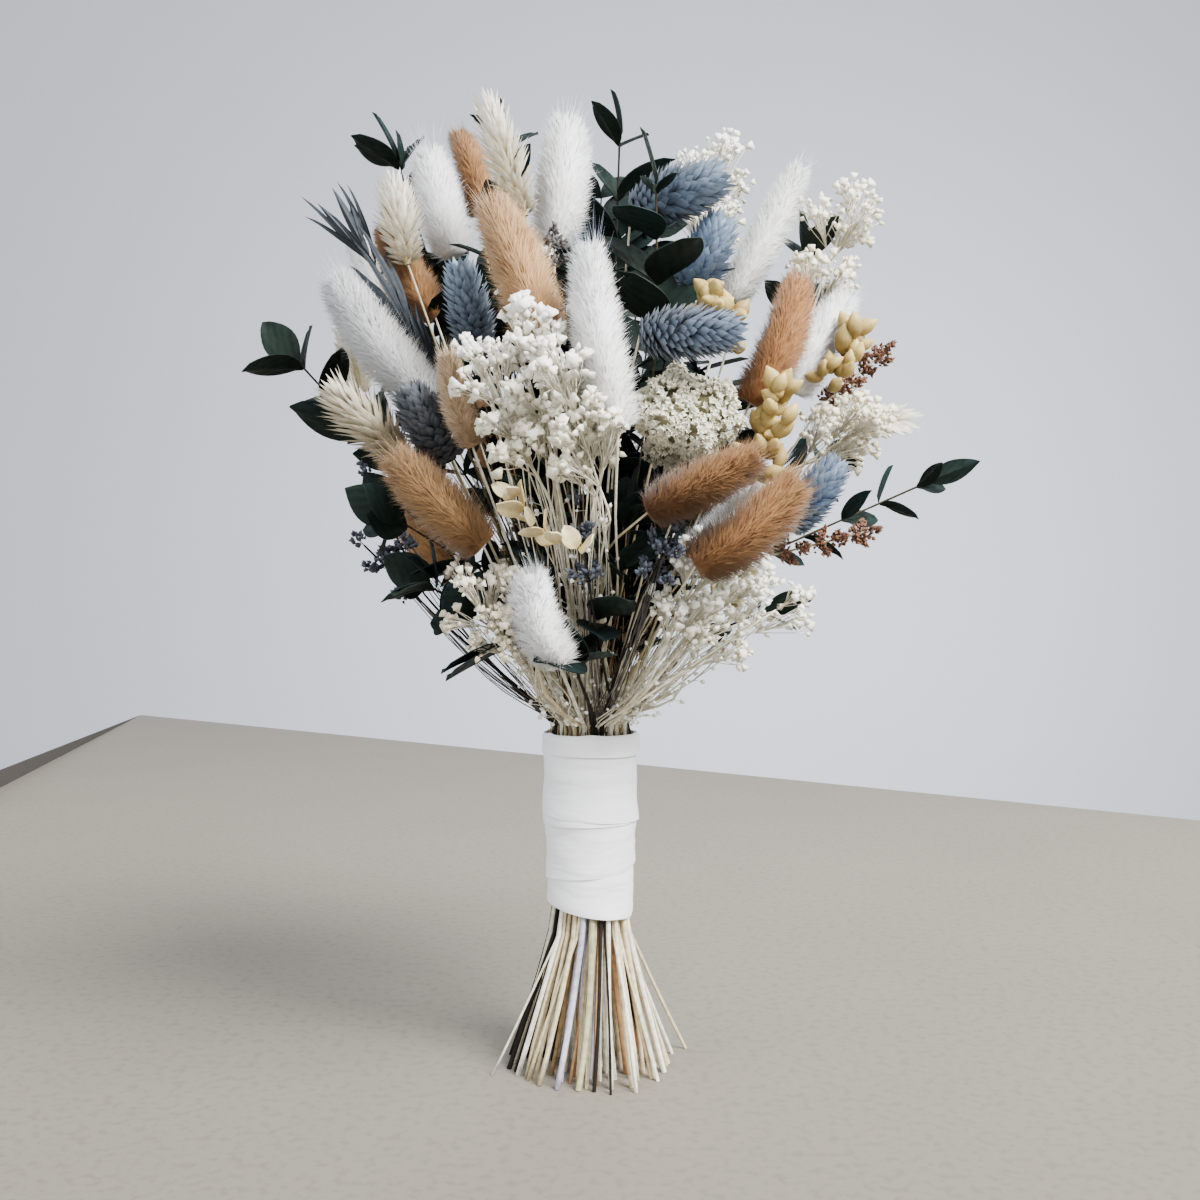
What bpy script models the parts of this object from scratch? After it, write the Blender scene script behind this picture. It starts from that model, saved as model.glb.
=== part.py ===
"""A dried bridal bouquet that stands on its cut stems, tied with twine under a wound ribbon.

Each flower is one grown piece: its head and its stem, which runs down through the tie to a cut end
on the surface. Lengths in this file are millimetres, and they become metres when a mesh is made.
Z is up, the centre stem's cut end is the origin, and the front of the bouquet faces -Y.
"""

import math

import bmesh
import bpy
import numpy as np
from mathutils import Vector
from mathutils.bvhtree import BVHTree

MM = 0.001
SEED = 20614

# Tie and ribbon
RIBBON_BOTTOM_Z = 56.0
RIBBON_TOP_Z = 119.0
RIBBON_BOTTOM_RADIUS = 16.4
RIBBON_TOP_RADIUS = 17.5
RIBBON_TURN_EDGES = (78.0, 107.0)
RIBBON_EDGE = 0.4
RIBBON_SLANT = 3.2
RIBBON_SLANT_BEARING = 0.6
TIE_Z = 88.0
TWINE_TURNS = 3
TWINE_HALF_HEIGHT = 3.3
TWINE_OUTER_RADIUS = 15.5
TWINE_CORD_DEPTH = 0.55
BAY_SLOPE = 1.6
WRAP_SIDES = 20
BUNDLE_RADIUS = 13.8
FIT_GAP = 0.3

# Stems
BELOW_RIBBON_Z = 53.0
ABOVE_RIBBON_Z = 122.0
FOOT_SPREAD = 2.3
FOOT_JITTER = 1.1
FOOT_TWIST = math.radians(-14.0)
STEM_SIDES = 5
TWIGGY_STEM_SIDES = 4
ARM_SIDES = 4
STEM_GAP = 0.3
STEM_RADIUS = 1.35
STEM_RADII = {"tail": 1.25, "ear": 1.3, "dome": 1.6, "pods": 1.3, "grain": 1.2, "buds": 1.15}
THIN_STEM = 0.85
TWIG_END_RADIUS = 0.6
TWIG_RADIUS = 0.5
CENTRE_NODE = "leafy_branch_5"

# Room kept between two pieces
STRAND_GAP = 0.65
STRAND_ROOM = 1.1
WAIST_ROOM = 1.35
PIECE_GAP = 0.35

# One row a stem: node, kind, foot of the head, tip of the head, half width of the head, fork.
# Fork 0 is a main stem. An arm shares its node's main stem up to that control point.
ROWS = (
    ("tan_tail_1", "tail", (-13, -70, 243), (-31, -66, 290), 8.3, 0),
    ("tan_tail_2", "tail", (-37, -62, 214), (-43, -71, 242), 4.6, 0),
    ("tan_tail_3", "tail", (-33, -60, 183), (-61, -66, 211), 7.8, 0),
    ("tan_tail_4", "tail", (52, -52, 229), (67, -50, 270), 6.8, 0),
    ("tan_tail_5", "tail", (14, -66, 199), (49, -78, 217), 6.9, 0),
    ("tan_tail_6", "tail", (32, -68, 177), (63, -71, 204), 8.3, 0),
    ("tan_tail_pair", "tail", (-53, -20, 264), (-70, -22, 296), 6.6, 0),
    ("tan_tail_pair", "tail", (-42, 6, 306), (-51, 2, 335), 5.4, 3),
    ("white_tail_1", "tail", (49, -18, 270), (74, -14, 318), 6.0, 0),
    ("white_tail_2", "tail", (-52, -48, 229), (-83, -46, 271), 8.0, 0),
    ("white_tail_3", "tail", (-48, -5, 289), (-55, 0, 328), 7.6, 0),
    ("white_tail_4", "tail", (-12, -26, 287), (-8, -24, 330), 8.2, 0),
    ("white_tail_5", "tail", (8, -82, 217), (0, -84, 272), 7.0, 0),
    ("white_tail_6", "tail", (-9, -58, 147), (-15, -70, 178), 7.0, 0),
    ("white_tail_7", "tail", (33, -43, 172), (68, -48, 204), 6.3, 0),
    ("white_tail_8", "tail", (69, -33, 236), (88, -28, 268), 6.8, 0),
    ("white_tail_9", "tail", (-73, 14, 264), (-88, 14, 304), 6.2, 0),
    ("blue_head_1", "ear", (14, -58, 288), (43, -56, 300), 8.3, 0),
    ("blue_head_2", "ear", (32, -48, 264), (43, -48, 290), 7.4, 0),
    ("blue_head_3", "ear", (20, -76, 244), (45, -82, 246), 7.5, 0),
    ("blue_head_4", "ear", (-36, -42, 245), (-42, -48, 275), 7.0, 0),
    ("blue_head_5", "ear", (-43, -54, 211), (-57, -58, 233), 7.6, 0),
    ("blue_head_6", "ear", (60, -46, 191), (79, -48, 212), 6.6, 0),
    ("ivory_head_1", "ear", (-21, -38, 293), (-34, -36, 331), 7.0, 0),
    ("ivory_head_2", "ear", (-60, -44, 212), (-82, -46, 233), 8.0, 0),
    ("ivory_head_3", "ear", (-62, -26, 278), (-67, -26, 305), 7.0, 0),
    ("ivory_head_pair", "ear", (-82, -2, 240), (-86, -6, 261), 4.8, 0),
    ("ivory_head_pair", "ear", (-74, 2, 258), (-73, -3, 279), 4.8, 5),
    ("ivory_head_5", "ear", (90, -10, 230), (111, -12, 229), 5.0, 0),
    ("ivory_dome_1", "dome", (26, -52, 203), (29, -80, 224), 17.0, 0),
    ("beige_pods_1", "pods", (-9, -64, 176), (-26, -82, 204), 8.0, 0),
    ("beige_pods_1", "pods", (-5, -66, 168), (-3, -78, 190), 4.5, 5),
    ("beige_pods_2", "pods", (55, -58, 197), (61, -66, 240), 7.4, 0),
    ("beige_pods_2", "pods", (78, -40, 236), (89, -36, 264), 4.6, 4),
    ("beige_pods_3", "pods", (44, -58, 248), (35, -71, 266), 5.4, 0),
    ("rust_sprigs", "grain", (58, -40, 184), (93, -46, 190), 4.4, 0),
    ("rust_sprigs", "grain", (78, -24, 231), (103, -24, 253), 4.4, 3),
    ("blue_bud_sprig_1", "buds", (16, -60, 166), (26, -74, 196), 5.0, 0),
    ("blue_bud_sprig_1", "buds", (4, -58, 160), (1, -68, 200), 3.6, 4),
    ("blue_bud_sprig_2", "buds", (-52, -15, 159), (-82, -12, 188), 3.4, 0),
    ("blue_bud_sprig_2", "buds", (-58, -12, 168), (-80, -10, 213), 3.4, 5),
    ("grey_seed_head", "seeds", (-18, -44, 262), (-11, -50, 285), 5.8, 0),
    ("grey_blade_leaves", "blades", (-46, -36, 230), (-82, -32, 296), 3.4, 0),
    ("leafy_branch_1", "leaves", (-58, 14, 286), (-75, 12, 340), 1.4, 0),
    ("leafy_branch_2", "leaves", (-74, -16, 219), (-110, -14, 258), 1.4, 0),
    ("leafy_branch_3", "leaves", (-36, -36, 176), (-74, -42, 199), 1.4, 0),
    ("leafy_branch_3", "leaves", (-22, -40, 150), (-62, -50, 178), 1.4, 3),
    ("leafy_branch_4", "leaves", (-33, 12, 296), (-30, 8, 346), 1.4, 0),
    ("leafy_branch_5", "leaves", (9, -10, 284), (11, -8, 342), 1.4, 0),
    ("leafy_branch_6", "leaves", (22, -52, 249), (20, -60, 309), 1.4, 0),
    ("leafy_branch_7", "leaves", (76, 0, 262), (78, 0, 302), 1.4, 0),
    ("leafy_branch_8", "leaves", (56, -24, 180), (126, -30, 211), 1.4, 0),
    ("leafy_branch_8", "leaves", (34, -28, 152), (70, -36, 167), 1.4, 4),
    ("leafy_branch_9", "leaves", (3, -44, 140), (6, -56, 206), 1.4, 0),
    ("white_floret_spray_1", "florets", (-4, -66, 192), (-18, -84, 250), 3.0, 0),
    ("white_floret_spray_1", "florets", (-14, -70, 190), (-32, -82, 238), 3.0, 3),
    ("white_floret_spray_1", "florets", (2, -72, 190), (-8, -92, 236), 3.0, 3),
    ("white_floret_spray_1", "florets", (6, -66, 190), (-2, -84, 228), 3.0, 4),
    ("white_floret_spray_2", "florets", (16, -46, 140), (34, -62, 184), 2.2, 0),
    ("white_floret_spray_2", "florets", (20, -42, 138), (52, -50, 176), 2.2, 3),
    ("white_floret_spray_2", "florets", (18, -40, 134), (66, -44, 166), 2.2, 4),
    ("white_floret_spray_3", "florets", (-16, -44, 138), (-41, -60, 170), 2.2, 0),
    ("white_floret_spray_3", "florets", (-14, -46, 136), (-22, -62, 168), 2.2, 3),
    ("white_floret_spray_4", "florets", (72, -12, 250), (92, -10, 306), 2.4, 0),
    ("white_floret_spray_4", "florets", (66, -26, 208), (92, -28, 224), 2.4, 4),
    ("white_floret_spray_4", "florets", (36, 4, 274), (48, 12, 330), 2.4, 3),
    ("back_tan_tails", "tail", (4, 53, 232), (8, 65, 276), 7.8, 0),
    ("back_tan_tails", "tail", (-34, 49, 208), (-48, 63, 248), 7.6, 3),
    ("back_tan_tails", "tail", (-56, 37, 180), (-80, 49, 206), 7.2, 3),
    ("back_white_tails", "tail", (26, 41, 246), (36, 51, 294), 7.2, 0),
    ("back_white_tails", "tail", (52, 39, 212), (74, 51, 248), 7.0, 3),
    ("back_white_tails", "tail", (-14, 33, 266), (-20, 39, 312), 7.4, 3),
    ("back_blue_heads", "ear", (-58, 29, 238), (-74, 37, 262), 7.4, 0),
    ("back_blue_heads", "ear", (34, 53, 194), (52, 65, 212), 7.4, 3),
    ("back_ivory_heads", "ear", (64, 21, 250), (80, 25, 276), 6.8, 0),
    ("back_ivory_heads", "ear", (-2, 59, 184), (-6, 75, 206), 7.0, 3),
    ("back_leafy_branch_1", "leaves", (-46, 35, 196), (-94, 53, 240), 1.4, 0),
    ("back_leafy_branch_2", "leaves", (48, 27, 186), (100, 39, 226), 1.4, 0),
    ("back_floret_spray", "florets", (6, 39, 170), (10, 67, 236), 2.4, 0),
    ("back_floret_spray", "florets", (20, 39, 170), (36, 61, 228), 2.4, 3),
    ("back_floret_spray", "florets", (-10, 37, 166), (-28, 59, 222), 2.4, 3),
    ("back_ivory_dome", "dome", (-26, 39, 160), (-36, 63, 176), 14.0, 0),
    ("back_beige_pods", "pods", (52, 35, 164), (66, 47, 194), 7.0, 0),
)

# Heads
TAIL_SHAPE = ((0.07, 0.66), (0.3, 1.0), (0.62, 0.98), (0.88, 0.64))
TAIL_SIDES = 8
TAIL_TUFT = 0.07
DOME_SHAPE = ((0.45, 0.6), (0.7, 1.0), (0.9, 0.86))
DOME_SIDES = 8
DOME_TUFT = 0.1
DOME_STALK = 0.4
EAR_SIDES = 6
EAR_ROWS = 4

# Leaves: length, width as a share of it, and the least and most lean from the twig
LEAF_THICKNESS = 1.0
LEAF_SPACING = 13.0
LEAF = (25.0, 0.4, 0.55, 0.95)
END_LEAF = (17.0, 0.4, 0.0, 0.15)
SMALL_LEAVED = {"leafy_branch_8": 17.0}
BLADE_PAIRS = 3
BLADE = (44.0, 0.13, 0.2, 0.32)
END_BLADE = (24.0, 0.2, 0.0, 0.1)
LEAF_STATIONS = ((0.36, 0.95, 1.0), (0.68, 0.8, 0.9))
# The edges of a blade's four sides run alike on its two faces.
LEAF_SPLITS = (True, False, True, False)

# Drops: length, half width, stalk, lean from the twig
DROPS = {
    "pods": (9.0, 3.2, 0.0, 0.75),
    "grain": (5.2, 1.8, 0.0, 0.95),
    "buds": (4.8, 1.6, 3.2, 0.75),
    "seeds": (5.6, 2.0, 1.6, 1.0),
    "florets": (5.6, 3.2, 11.0, 0.6),
}
WHORLS = {"buds": (0.34, 0.7), "florets": (0.34, 0.7)}
DENSE_WHORLS = (0.25, 0.5, 0.78)
DENSE_RADIUS = 2.9
WHORL_HALF_HEIGHT = 1.1
SPACED = {"pods": 5, "grain": 5, "seeds": 5}
SHORT_PODS = 3
SHORT_POD_RADIUS = 5.0
# How far the last sprout of a twig stands out past the twig's own end
END_SPROUT = {
    "leaves": 13.0,
    "blades": 18.0,
    "florets": 6.0,
    "pods": 7.0,
    "grain": 4.0,
    "buds": 4.0,
    "seeds": 4.0,
}
# Heads that stand in the open give way less when stems are pushed apart.
HEAD_GIVE = {"tail": 0.22, "ear": 0.22, "dome": 0.15, "leaves": 0.3, "blades": 0.3}
OTHER_GIVE = 0.5
SPROUT_TRIES = 14
END_TRIES = 6

# Colour and roughness by the first word of a node's name
FINISHES = {
    "tan": ((0.55, 0.30, 0.18), 0.9),
    "white": ((0.80, 0.80, 0.80), 0.9),
    "blue": ((0.16, 0.24, 0.35), 0.85),
    "ivory": ((0.76, 0.70, 0.55), 0.85),
    "beige": ((0.62, 0.48, 0.24), 0.7),
    "rust": ((0.24, 0.09, 0.05), 0.8),
    "grey": ((0.14, 0.17, 0.22), 0.7),
    "leafy": ((0.02, 0.06, 0.05), 0.45),
    "ribbon": ((0.85, 0.88, 0.92), 0.5),
    "binding": ((0.45, 0.33, 0.18), 0.9),
}
BACK_WORDS = {"floret": "white"}

# Control points of a strand, from its cut end to the tip of its head
FOOT, LOW, TIE, HIGH, FIRST, SECOND, THIRD, NECK, TIP = range(9)


def unit(vector):
    vector = np.asarray(vector, float)
    return vector / max(np.linalg.norm(vector), 1e-9)


def across(direction, turn=0.0):
    """Two unit vectors square to a direction, turned about it."""
    direction = unit(direction)
    seed = np.array([0.0, 0.0, 1.0]) if abs(direction[2]) < 0.9 else np.array([0.0, 1.0, 0.0])
    first = unit(np.cross(direction, seed))
    second = np.cross(direction, first)
    return (
        first * math.cos(turn) + second * math.sin(turn),
        second * math.cos(turn) - first * math.sin(turn),
    )


def circle_of(sides, turn=0.0):
    angles = np.arange(sides) * 2 * math.pi / sides + turn
    return np.stack([np.cos(angles), np.sin(angles)], 1)


def turned(flat, angle):
    c, s = math.cos(angle), math.sin(angle)
    return np.stack([flat[..., 0] * c - flat[..., 1] * s, flat[..., 0] * s + flat[..., 1] * c], -1)


# Where each stem passes the tie
def pack_waist(names, radii, bearings, slopes):
    """Discs of the stems' sizes packed in the tie, each near its head's bearing."""
    order = np.argsort(slopes)
    count = len(names)
    place = np.zeros((count, 2))
    for rank, i in enumerate(order):
        reach = (BUNDLE_RADIUS - radii[i]) * math.sqrt((rank + 0.3) / count)
        place[i] = (reach * math.cos(bearings[i]), reach * math.sin(bearings[i]))
    wanted = place.copy()
    centre = names.index(CENTRE_NODE)
    limit = BUNDLE_RADIUS - radii
    need = radii[:, None] + radii[None, :] + STEM_GAP + 0.02
    for step in range(1500):
        pull = 0.02 if step < 900 else 0.0
        place += (wanted - place) * pull
        gap = place[:, None, :] - place[None, :, :]
        far = np.sqrt((gap**2).sum(-1)) + 1e-9
        short = np.clip(need - far, 0, None)
        np.fill_diagonal(short, 0.0)
        place += (gap / far[..., None] * short[..., None]).sum(1) * 0.3
        place[centre] = 0.0
        out = np.sqrt((place**2).sum(-1)) + 1e-9
        place *= np.minimum(1.0, limit / out)[:, None]
    return place


def head_ends():
    """Feet and tips of the heads' own twigs, short of their last sprouts."""
    neck = np.array([row[2] for row in ROWS], float)
    tip = np.array([row[3] for row in ROWS], float)
    ahead = tip - neck
    ahead /= np.linalg.norm(ahead, axis=1)[:, None]
    short = np.array([END_SPROUT.get(row[1], 0.0) for row in ROWS])
    return neck, tip - ahead * short[:, None]


def lay_strands():
    """Nine control points a stem, before the stems are pushed apart."""
    names = list(dict.fromkeys(row[0] for row in ROWS))
    owner = np.array([names.index(row[0]) for row in ROWS])
    main = [int(np.flatnonzero(owner == k)[0]) for k in range(len(names))]
    neck, tip = head_ends()
    waist_radii = np.array([STEM_RADII.get(ROWS[i][1], STEM_RADIUS) for i in main])
    middle = np.array([neck[owner == k].mean(0) for k in range(len(names))])
    slopes = np.hypot(middle[:, 0], middle[:, 1]) / (middle[:, 2] - TIE_Z)
    slopes[names.index(CENTRE_NODE)] = 0.0
    bearings = np.arctan2(middle[:, 1], middle[:, 0])
    waist = pack_waist(names, waist_radii, bearings, slopes)[owner]

    points = np.zeros((len(ROWS), 9, 3))
    rng = np.random.default_rng(SEED)
    jitter = rng.uniform(-1, 1, (len(names), 2)) * FOOT_JITTER
    jitter[names.index(CENTRE_NODE)] = 0.0
    points[:, FOOT, :2] = turned(waist, FOOT_TWIST) * FOOT_SPREAD + jitter[owner]
    for index, height in ((LOW, BELOW_RIBBON_Z), (TIE, TIE_Z), (HIGH, ABOVE_RIBBON_Z)):
        points[:, index, :2] = waist
        points[:, index, 2] = height

    # Above the ribbon each strand is a smooth curve to the foot of its head.
    start = points[:, HIGH]
    reach = np.linalg.norm(neck - start, axis=1)[:, None]
    head = tip - neck
    head /= np.linalg.norm(head, axis=1)[:, None]
    rise = np.array([0, 0, 1.0]) + np.concatenate([waist / 60.0, np.zeros((len(ROWS), 1))], 1)
    second, third = start + rise * reach * 0.36, neck - head * reach * 0.3
    for index, t in ((FIRST, 0.25), (SECOND, 0.5), (THIRD, 0.76)):
        low = start * (1 - t) ** 3 + 3 * second * t * (1 - t) ** 2
        points[:, index] = low + 3 * third * t * t * (1 - t) + neck * t**3
    points[:, NECK], points[:, TIP] = neck, tip
    share_forks(points, owner, main)
    return names, owner, main, waist_radii, points


def share_forks(points, owner, main):
    """Keeps the first control points of each arm on its main stem."""
    for i, row in enumerate(ROWS):
        if row[5]:
            points[i, : row[5] + 1] = points[main[owner[i]], : row[5] + 1]


def closest(p, q, r, s):
    """How far along two sets of segments their nearest points lie, and the gap between those."""
    d1, d2, w = q - p, s - r, p - r
    a, e = (d1 * d1).sum(-1) + 1e-9, (d2 * d2).sum(-1) + 1e-9
    b, c, f = (d1 * d2).sum(-1), (d1 * w).sum(-1), (d2 * w).sum(-1)
    t1 = np.clip((b * f - c * e) / np.maximum(a * e - b * b, 1e-9), 0, 1)
    t2 = np.clip((b * t1 + f) / e, 0, 1)
    t1 = np.clip((b * t2 - c) / a, 0, 1)
    gap = (p + d1 * t1[:, None]) - (r + d2 * t2[:, None])
    return t1, t2, gap


def strand_rods(points):
    """The strands above the ribbon as round rods: strand, first point, radius and cut-back ends."""
    strand, first, radius, trim = [], [], [], []
    for i, row in enumerate(ROWS):
        length = np.linalg.norm(points[i, TIP] - points[i, NECK])
        for k in range(HIGH, TIP):
            strand.append(i)
            first.append(k)
            radius.append(row[4] if k == NECK else (WAIST_ROOM if k == HIGH else STRAND_ROOM))
            trim.append(min(0.42, 0.8 * row[4] / length) if k == NECK else 0.0)
    return tuple(map(np.array, (strand, first, radius, trim)))


def strand_give():
    """How readily each control point moves, and which of them an arm shares with its main stem."""
    give = np.zeros((len(ROWS), 9))
    shared = np.zeros((len(ROWS), 9), bool)
    give[:, FIRST], give[:, SECOND], give[:, THIRD] = 1.0, 1.0, 0.8
    for i, row in enumerate(ROWS):
        give[i, NECK] = HEAD_GIVE.get(row[1], OTHER_GIVE)
        give[i, TIP] = give[i, NECK] * 0.8
        if row[5]:
            shared[i, : row[5] + 1] = True
            give[i, : row[5] + 1] = 0.0
    return give, shared


def push_apart(points, owner, main):
    """Moves the stems above the ribbon, and the heads a little, until none crosses another."""
    strand, first, radius, trim = strand_rods(points)
    give, shared = strand_give()
    live = ~(shared[strand, first] & shared[strand, first + 1])
    one, two = np.triu_indices(len(strand), 1)
    other = (owner[strand[one]] != owner[strand[two]]) & live[one] & live[two]
    one, two = one[other], two[other]
    for step in range(320):
        low, high = points[strand, first], points[strand, first + 1]
        p = low + (high - low) * trim[:, None]
        q = high - (high - low) * trim[:, None]
        if step % 16 == 0:
            _, _, gap = closest(p[one], q[one], p[two], q[two])
            near = np.linalg.norm(gap, axis=1) < radius[one] + radius[two] + 9.0
            a, b = one[near], two[near]
        t1, t2, gap = closest(p[a], q[a], p[b], q[b])
        far = np.linalg.norm(gap, axis=1) + 1e-6
        short = np.clip(radius[a] + radius[b] + STRAND_GAP - far, 0, None)
        push = gap / far[:, None] * short[:, None] * 0.65
        move = np.zeros_like(points)
        for side, t, sign in ((a, t1, 1.0), (b, t2, -1.0)):
            along = trim[side] + t * (1 - 2 * trim[side])
            for k, share in ((0, 1 - along), (1, along)):
                where = (strand[side], first[side] + k)
                np.add.at(move, where, sign * push * (share * give[where])[:, None])
        points += np.clip(move, -2.5, 2.5)
        if step < 220:
            for k in (FIRST, SECOND, THIRD):
                middle = (points[:, k - 1] + points[:, k + 1]) / 2
                points[:, k] += (middle - points[:, k]) * 0.05 * (give[:, k] > 0)[:, None]
        share_forks(points, owner, main)
    return points


class Grown:
    """A closed surface grown ring by ring, with sprouts raised from its side faces."""

    def __init__(self):
        self.points, self.faces, self.hosts = [], [], {}

    def ring(self, places):
        start = len(self.points)
        self.points.extend(np.atleast_2d(places))
        return list(range(start, len(self.points)))

    def side(self, a, b, c, d, split=True):
        """Two triangles of a quad, cut from its first corner or from its second."""
        self.faces.extend([(a, b, c), (a, c, d)] if split else [(a, b, d), (b, c, d)])

    def bridge(self, low, high, splits=None, gap=None):
        """Joins two rings. The quads of a named gap stay open to sprouts until the end."""
        count = len(low)
        if len(high) == 1:
            self.faces.extend((low[j], low[(j + 1) % count], high[0]) for j in range(count))
        elif len(low) == 1:
            self.faces.extend((low[0], high[(j + 1) % len(high)], high[j]) for j in range(len(high)))
        elif count == len(high):
            for j in range(count):
                n = (j + 1) % count
                corners = (low[j], low[n], high[n], high[j])
                if gap is None:
                    self.side(*corners, split=splits[j] if splits else True)
                else:
                    self.hosts[(gap, j)] = corners
        else:
            self.zip_up(low, high)

    def zip_up(self, low, high):
        """Joins two rings of unlike counts by whichever next corner comes first round them."""
        i = j = 0
        while i < len(low) or j < len(high):
            a, b = low[i % len(low)], high[j % len(high)]
            low_first = (i + 1) / len(low) <= (j + 1) / len(high)
            if j >= len(high) or (i < len(low) and low_first):
                self.faces.append((a, low[(i + 1) % len(low)], b))
                i += 1
            else:
                self.faces.append((a, high[(j + 1) % len(high)], b))
                j += 1

    def cap(self, ring, up):
        self.faces.append(tuple(ring if up else reversed(ring)))

    def stack(self, low, rings, splits=None):
        """Grows on through more rings. The last may be a point."""
        for places in rings:
            high = self.ring(places)
            self.bridge(low, high, splits)
            low = high

    def sprout(self, key, rings, splits=None):
        """Raises rings of four from one open quad, lined up with its corners."""
        corners = list(self.hosts.pop(key))
        here = np.array([self.points[k] for k in corners])
        away = [unit(corner - here.mean(0)) for corner in here]
        first = [unit(place - rings[0].mean(0)) for place in rings[0]]
        score = [sum(np.dot(away[(m + turn) % 4], first[m]) for m in range(4)) for turn in range(4)]
        turn = int(np.argmax(score))
        self.stack(corners[turn:] + corners[:turn], rings, splits)

    def piece(self):
        """The points and faces, with every unused quad closed."""
        for corners in self.hosts.values():
            self.side(*corners)
        self.hosts = {}
        return np.array(self.points), self.faces


def path_frames(path, upright):
    """Two directions across a path at each of its points, with the first few kept level."""
    first, found = np.array([1.0, 0.0, 0.0]), []
    for k in range(len(path)):
        if k < upright:
            found.append((np.array([1.0, 0.0, 0.0]), np.array([0.0, 1.0, 0.0])))
            continue
        ahead = unit(path[min(k + 1, len(path) - 1)] - path[max(k - 1, 0)])
        first = unit(first - ahead * np.dot(first, ahead))
        found.append((first, np.cross(ahead, first)))
    return found


def grow_stem(plant, line, fork, waist_radius, stem_sides):
    """The stem or arm of one strand as far as its neck, level up to the top of the ribbon."""
    above = waist_radius * 0.92
    if fork:
        path = [line[k] for k in range(fork, NECK + 1)]
        upright, sides = 0, ARM_SIDES
        buried = 0.8 * (waist_radius if fork == HIGH else THIN_STEM)
        radii = [buried] + [THIN_STEM] * (len(path) - 1)
    else:
        path = [line[k] for k in (FOOT, LOW, HIGH, FIRST, SECOND, THIRD, NECK)]
        upright, sides = 3, stem_sides
        radii = [waist_radius, waist_radius, above, (above + THIN_STEM) / 2] + [THIN_STEM] * 3
    outline = circle_of(sides)
    low = None
    found = path_frames(path, upright)
    for centre, radius, frame in zip(path, radii, found):
        ring = plant.ring(centre + outline @ np.array(frame) * radius)
        if low is None:
            plant.cap(ring, up=False)
        else:
            plant.bridge(low, ring)
        low = ring
    return low, found[-1]


def carried_frame(axis, u):
    """The frame of a stem carried on to the axis of its head."""
    direction = unit(axis)
    first = unit(u - direction * np.dot(u, direction))
    return first, np.cross(direction, first)


def tufted(foot, tip, radius, shape, sides, tuft, u, rng):
    """Rings of a head raised into staggered tufts that point to its tip."""
    axis = tip - foot
    length = np.linalg.norm(axis)
    u, v = carried_frame(axis, u)
    rings = []
    for k, (t, wide) in enumerate(shape):
        ring = []
        for j in range(sides):
            angle = 2 * math.pi * (j + 0.5 * (k % 2)) / sides
            raised = j % 2 == 0
            swell = radius * wide * (1.0 if raised else 1.0 - 2 * tuft) * rng.uniform(0.96, 1.0)
            lift = length * (t + (0.035 if raised else -0.015))
            out = math.cos(angle) * u + math.sin(angle) * v
            ring.append(foot + axis / length * lift + swell * out)
        rings.append(np.array(ring))
    rings.append(tip[None, :])
    return rings


def ear(foot, tip, radius, u, rng):
    """Rings of a head of overlapping pointed bracts in staggered rows."""
    axis = tip - foot
    u, v = carried_frame(axis, u)
    rings = []
    for k in range(EAR_ROWS):
        t = (k + 0.1) / (EAR_ROWS + 0.35)
        wide = math.sin(math.pi * min(1.0, 0.26 + 0.56 * t)) ** 0.7
        for inner in (True, False):
            ring = []
            for j in range(EAR_SIDES):
                angle = 2 * math.pi * j / EAR_SIDES
                point = (j + k) % 2 == 0
                if inner:
                    swell, rise = (0.7, 0.0) if point else (0.62, 0.3)
                else:
                    swell, rise = (1.0, 1.2) if point else (0.72, 0.62)
                swell *= wide * radius * rng.uniform(0.97, 1.0)
                lift = min(t + rise / EAR_ROWS, 0.98)
                ring.append(foot + axis * lift + swell * (math.cos(angle) * u + math.sin(angle) * v))
            rings.append(np.array(ring))
    rings.append((tip + axis * 0.02)[None, :])
    return rings


def dome_lobes(foot, tip, radius, frame, rng):
    """The lobes of a flower dome, each a closed surface that starts on the stem."""
    count = 4 if radius > 15.0 else 3
    lobes = []
    for k in range(count):
        out, _ = across(tip - foot, k * 2 * math.pi / count + 0.5)
        lobe_tip = foot + (tip - foot) * (0.93 if k % 2 else 1.0) + out * radius * 0.48
        start = foot + out * 0.6
        lobe = Grown()
        shape = (DOME_SHAPE, DOME_SIDES, DOME_TUFT)
        low = lobe.ring(start)
        lobe.stack(low, tufted(start, lobe_tip, radius * 0.6, *shape, frame[0], rng))
        lobes.append(lobe.piece())
    return lobes


def leaf(root, way, face, length, width, grow, bend, cup=0.1):
    """Rings of a pointed blade, thickest along its midrib."""
    side = unit(np.cross(way, face))
    face = np.cross(side, way)
    rings = []
    for t, wide, thick in LEAF_STATIONS:
        reach = max(width / 2 * wide, 0.5) + grow
        half = LEAF_THICKNESS / 2 * thick + grow
        centre = root + way * length * t - face * bend * length * t * t
        rim = face * cup * reach
        right, left = centre + side * reach + rim, centre - side * reach + rim
        rings.append(np.array([right, centre - face * half, left, centre + face * half]))
    rings.append((root + way * (length + grow) - face * bend * length)[None, :])
    return rings


def drop(root, way, length, radius, stalk, grow):
    """Rings of a small drop, on a stalk of its own where it has one: a pod, seed, bud or floret."""
    frame = np.array(across(way))
    rings = []
    if stalk:
        rings.append(root + way * stalk + circle_of(4) @ frame * (TWIG_RADIUS + grow))
    middle = root + way * (stalk + length * 0.5)
    rings.append(middle + circle_of(4, 0.3) @ frame * (radius + grow))
    rings.append((root + way * (stalk + length + grow))[None, :])
    return rings


def alone(rings, root, reach=0.5):
    """A sprout as a closed surface of its own, for finding room."""
    plant = Grown()
    away = np.array([unit(place - rings[0].mean(0)) for place in rings[0]])
    low = plant.ring(root + away * reach)
    plant.cap(low, up=False)
    plant.stack(low, rings)
    return plant.piece()


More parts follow.
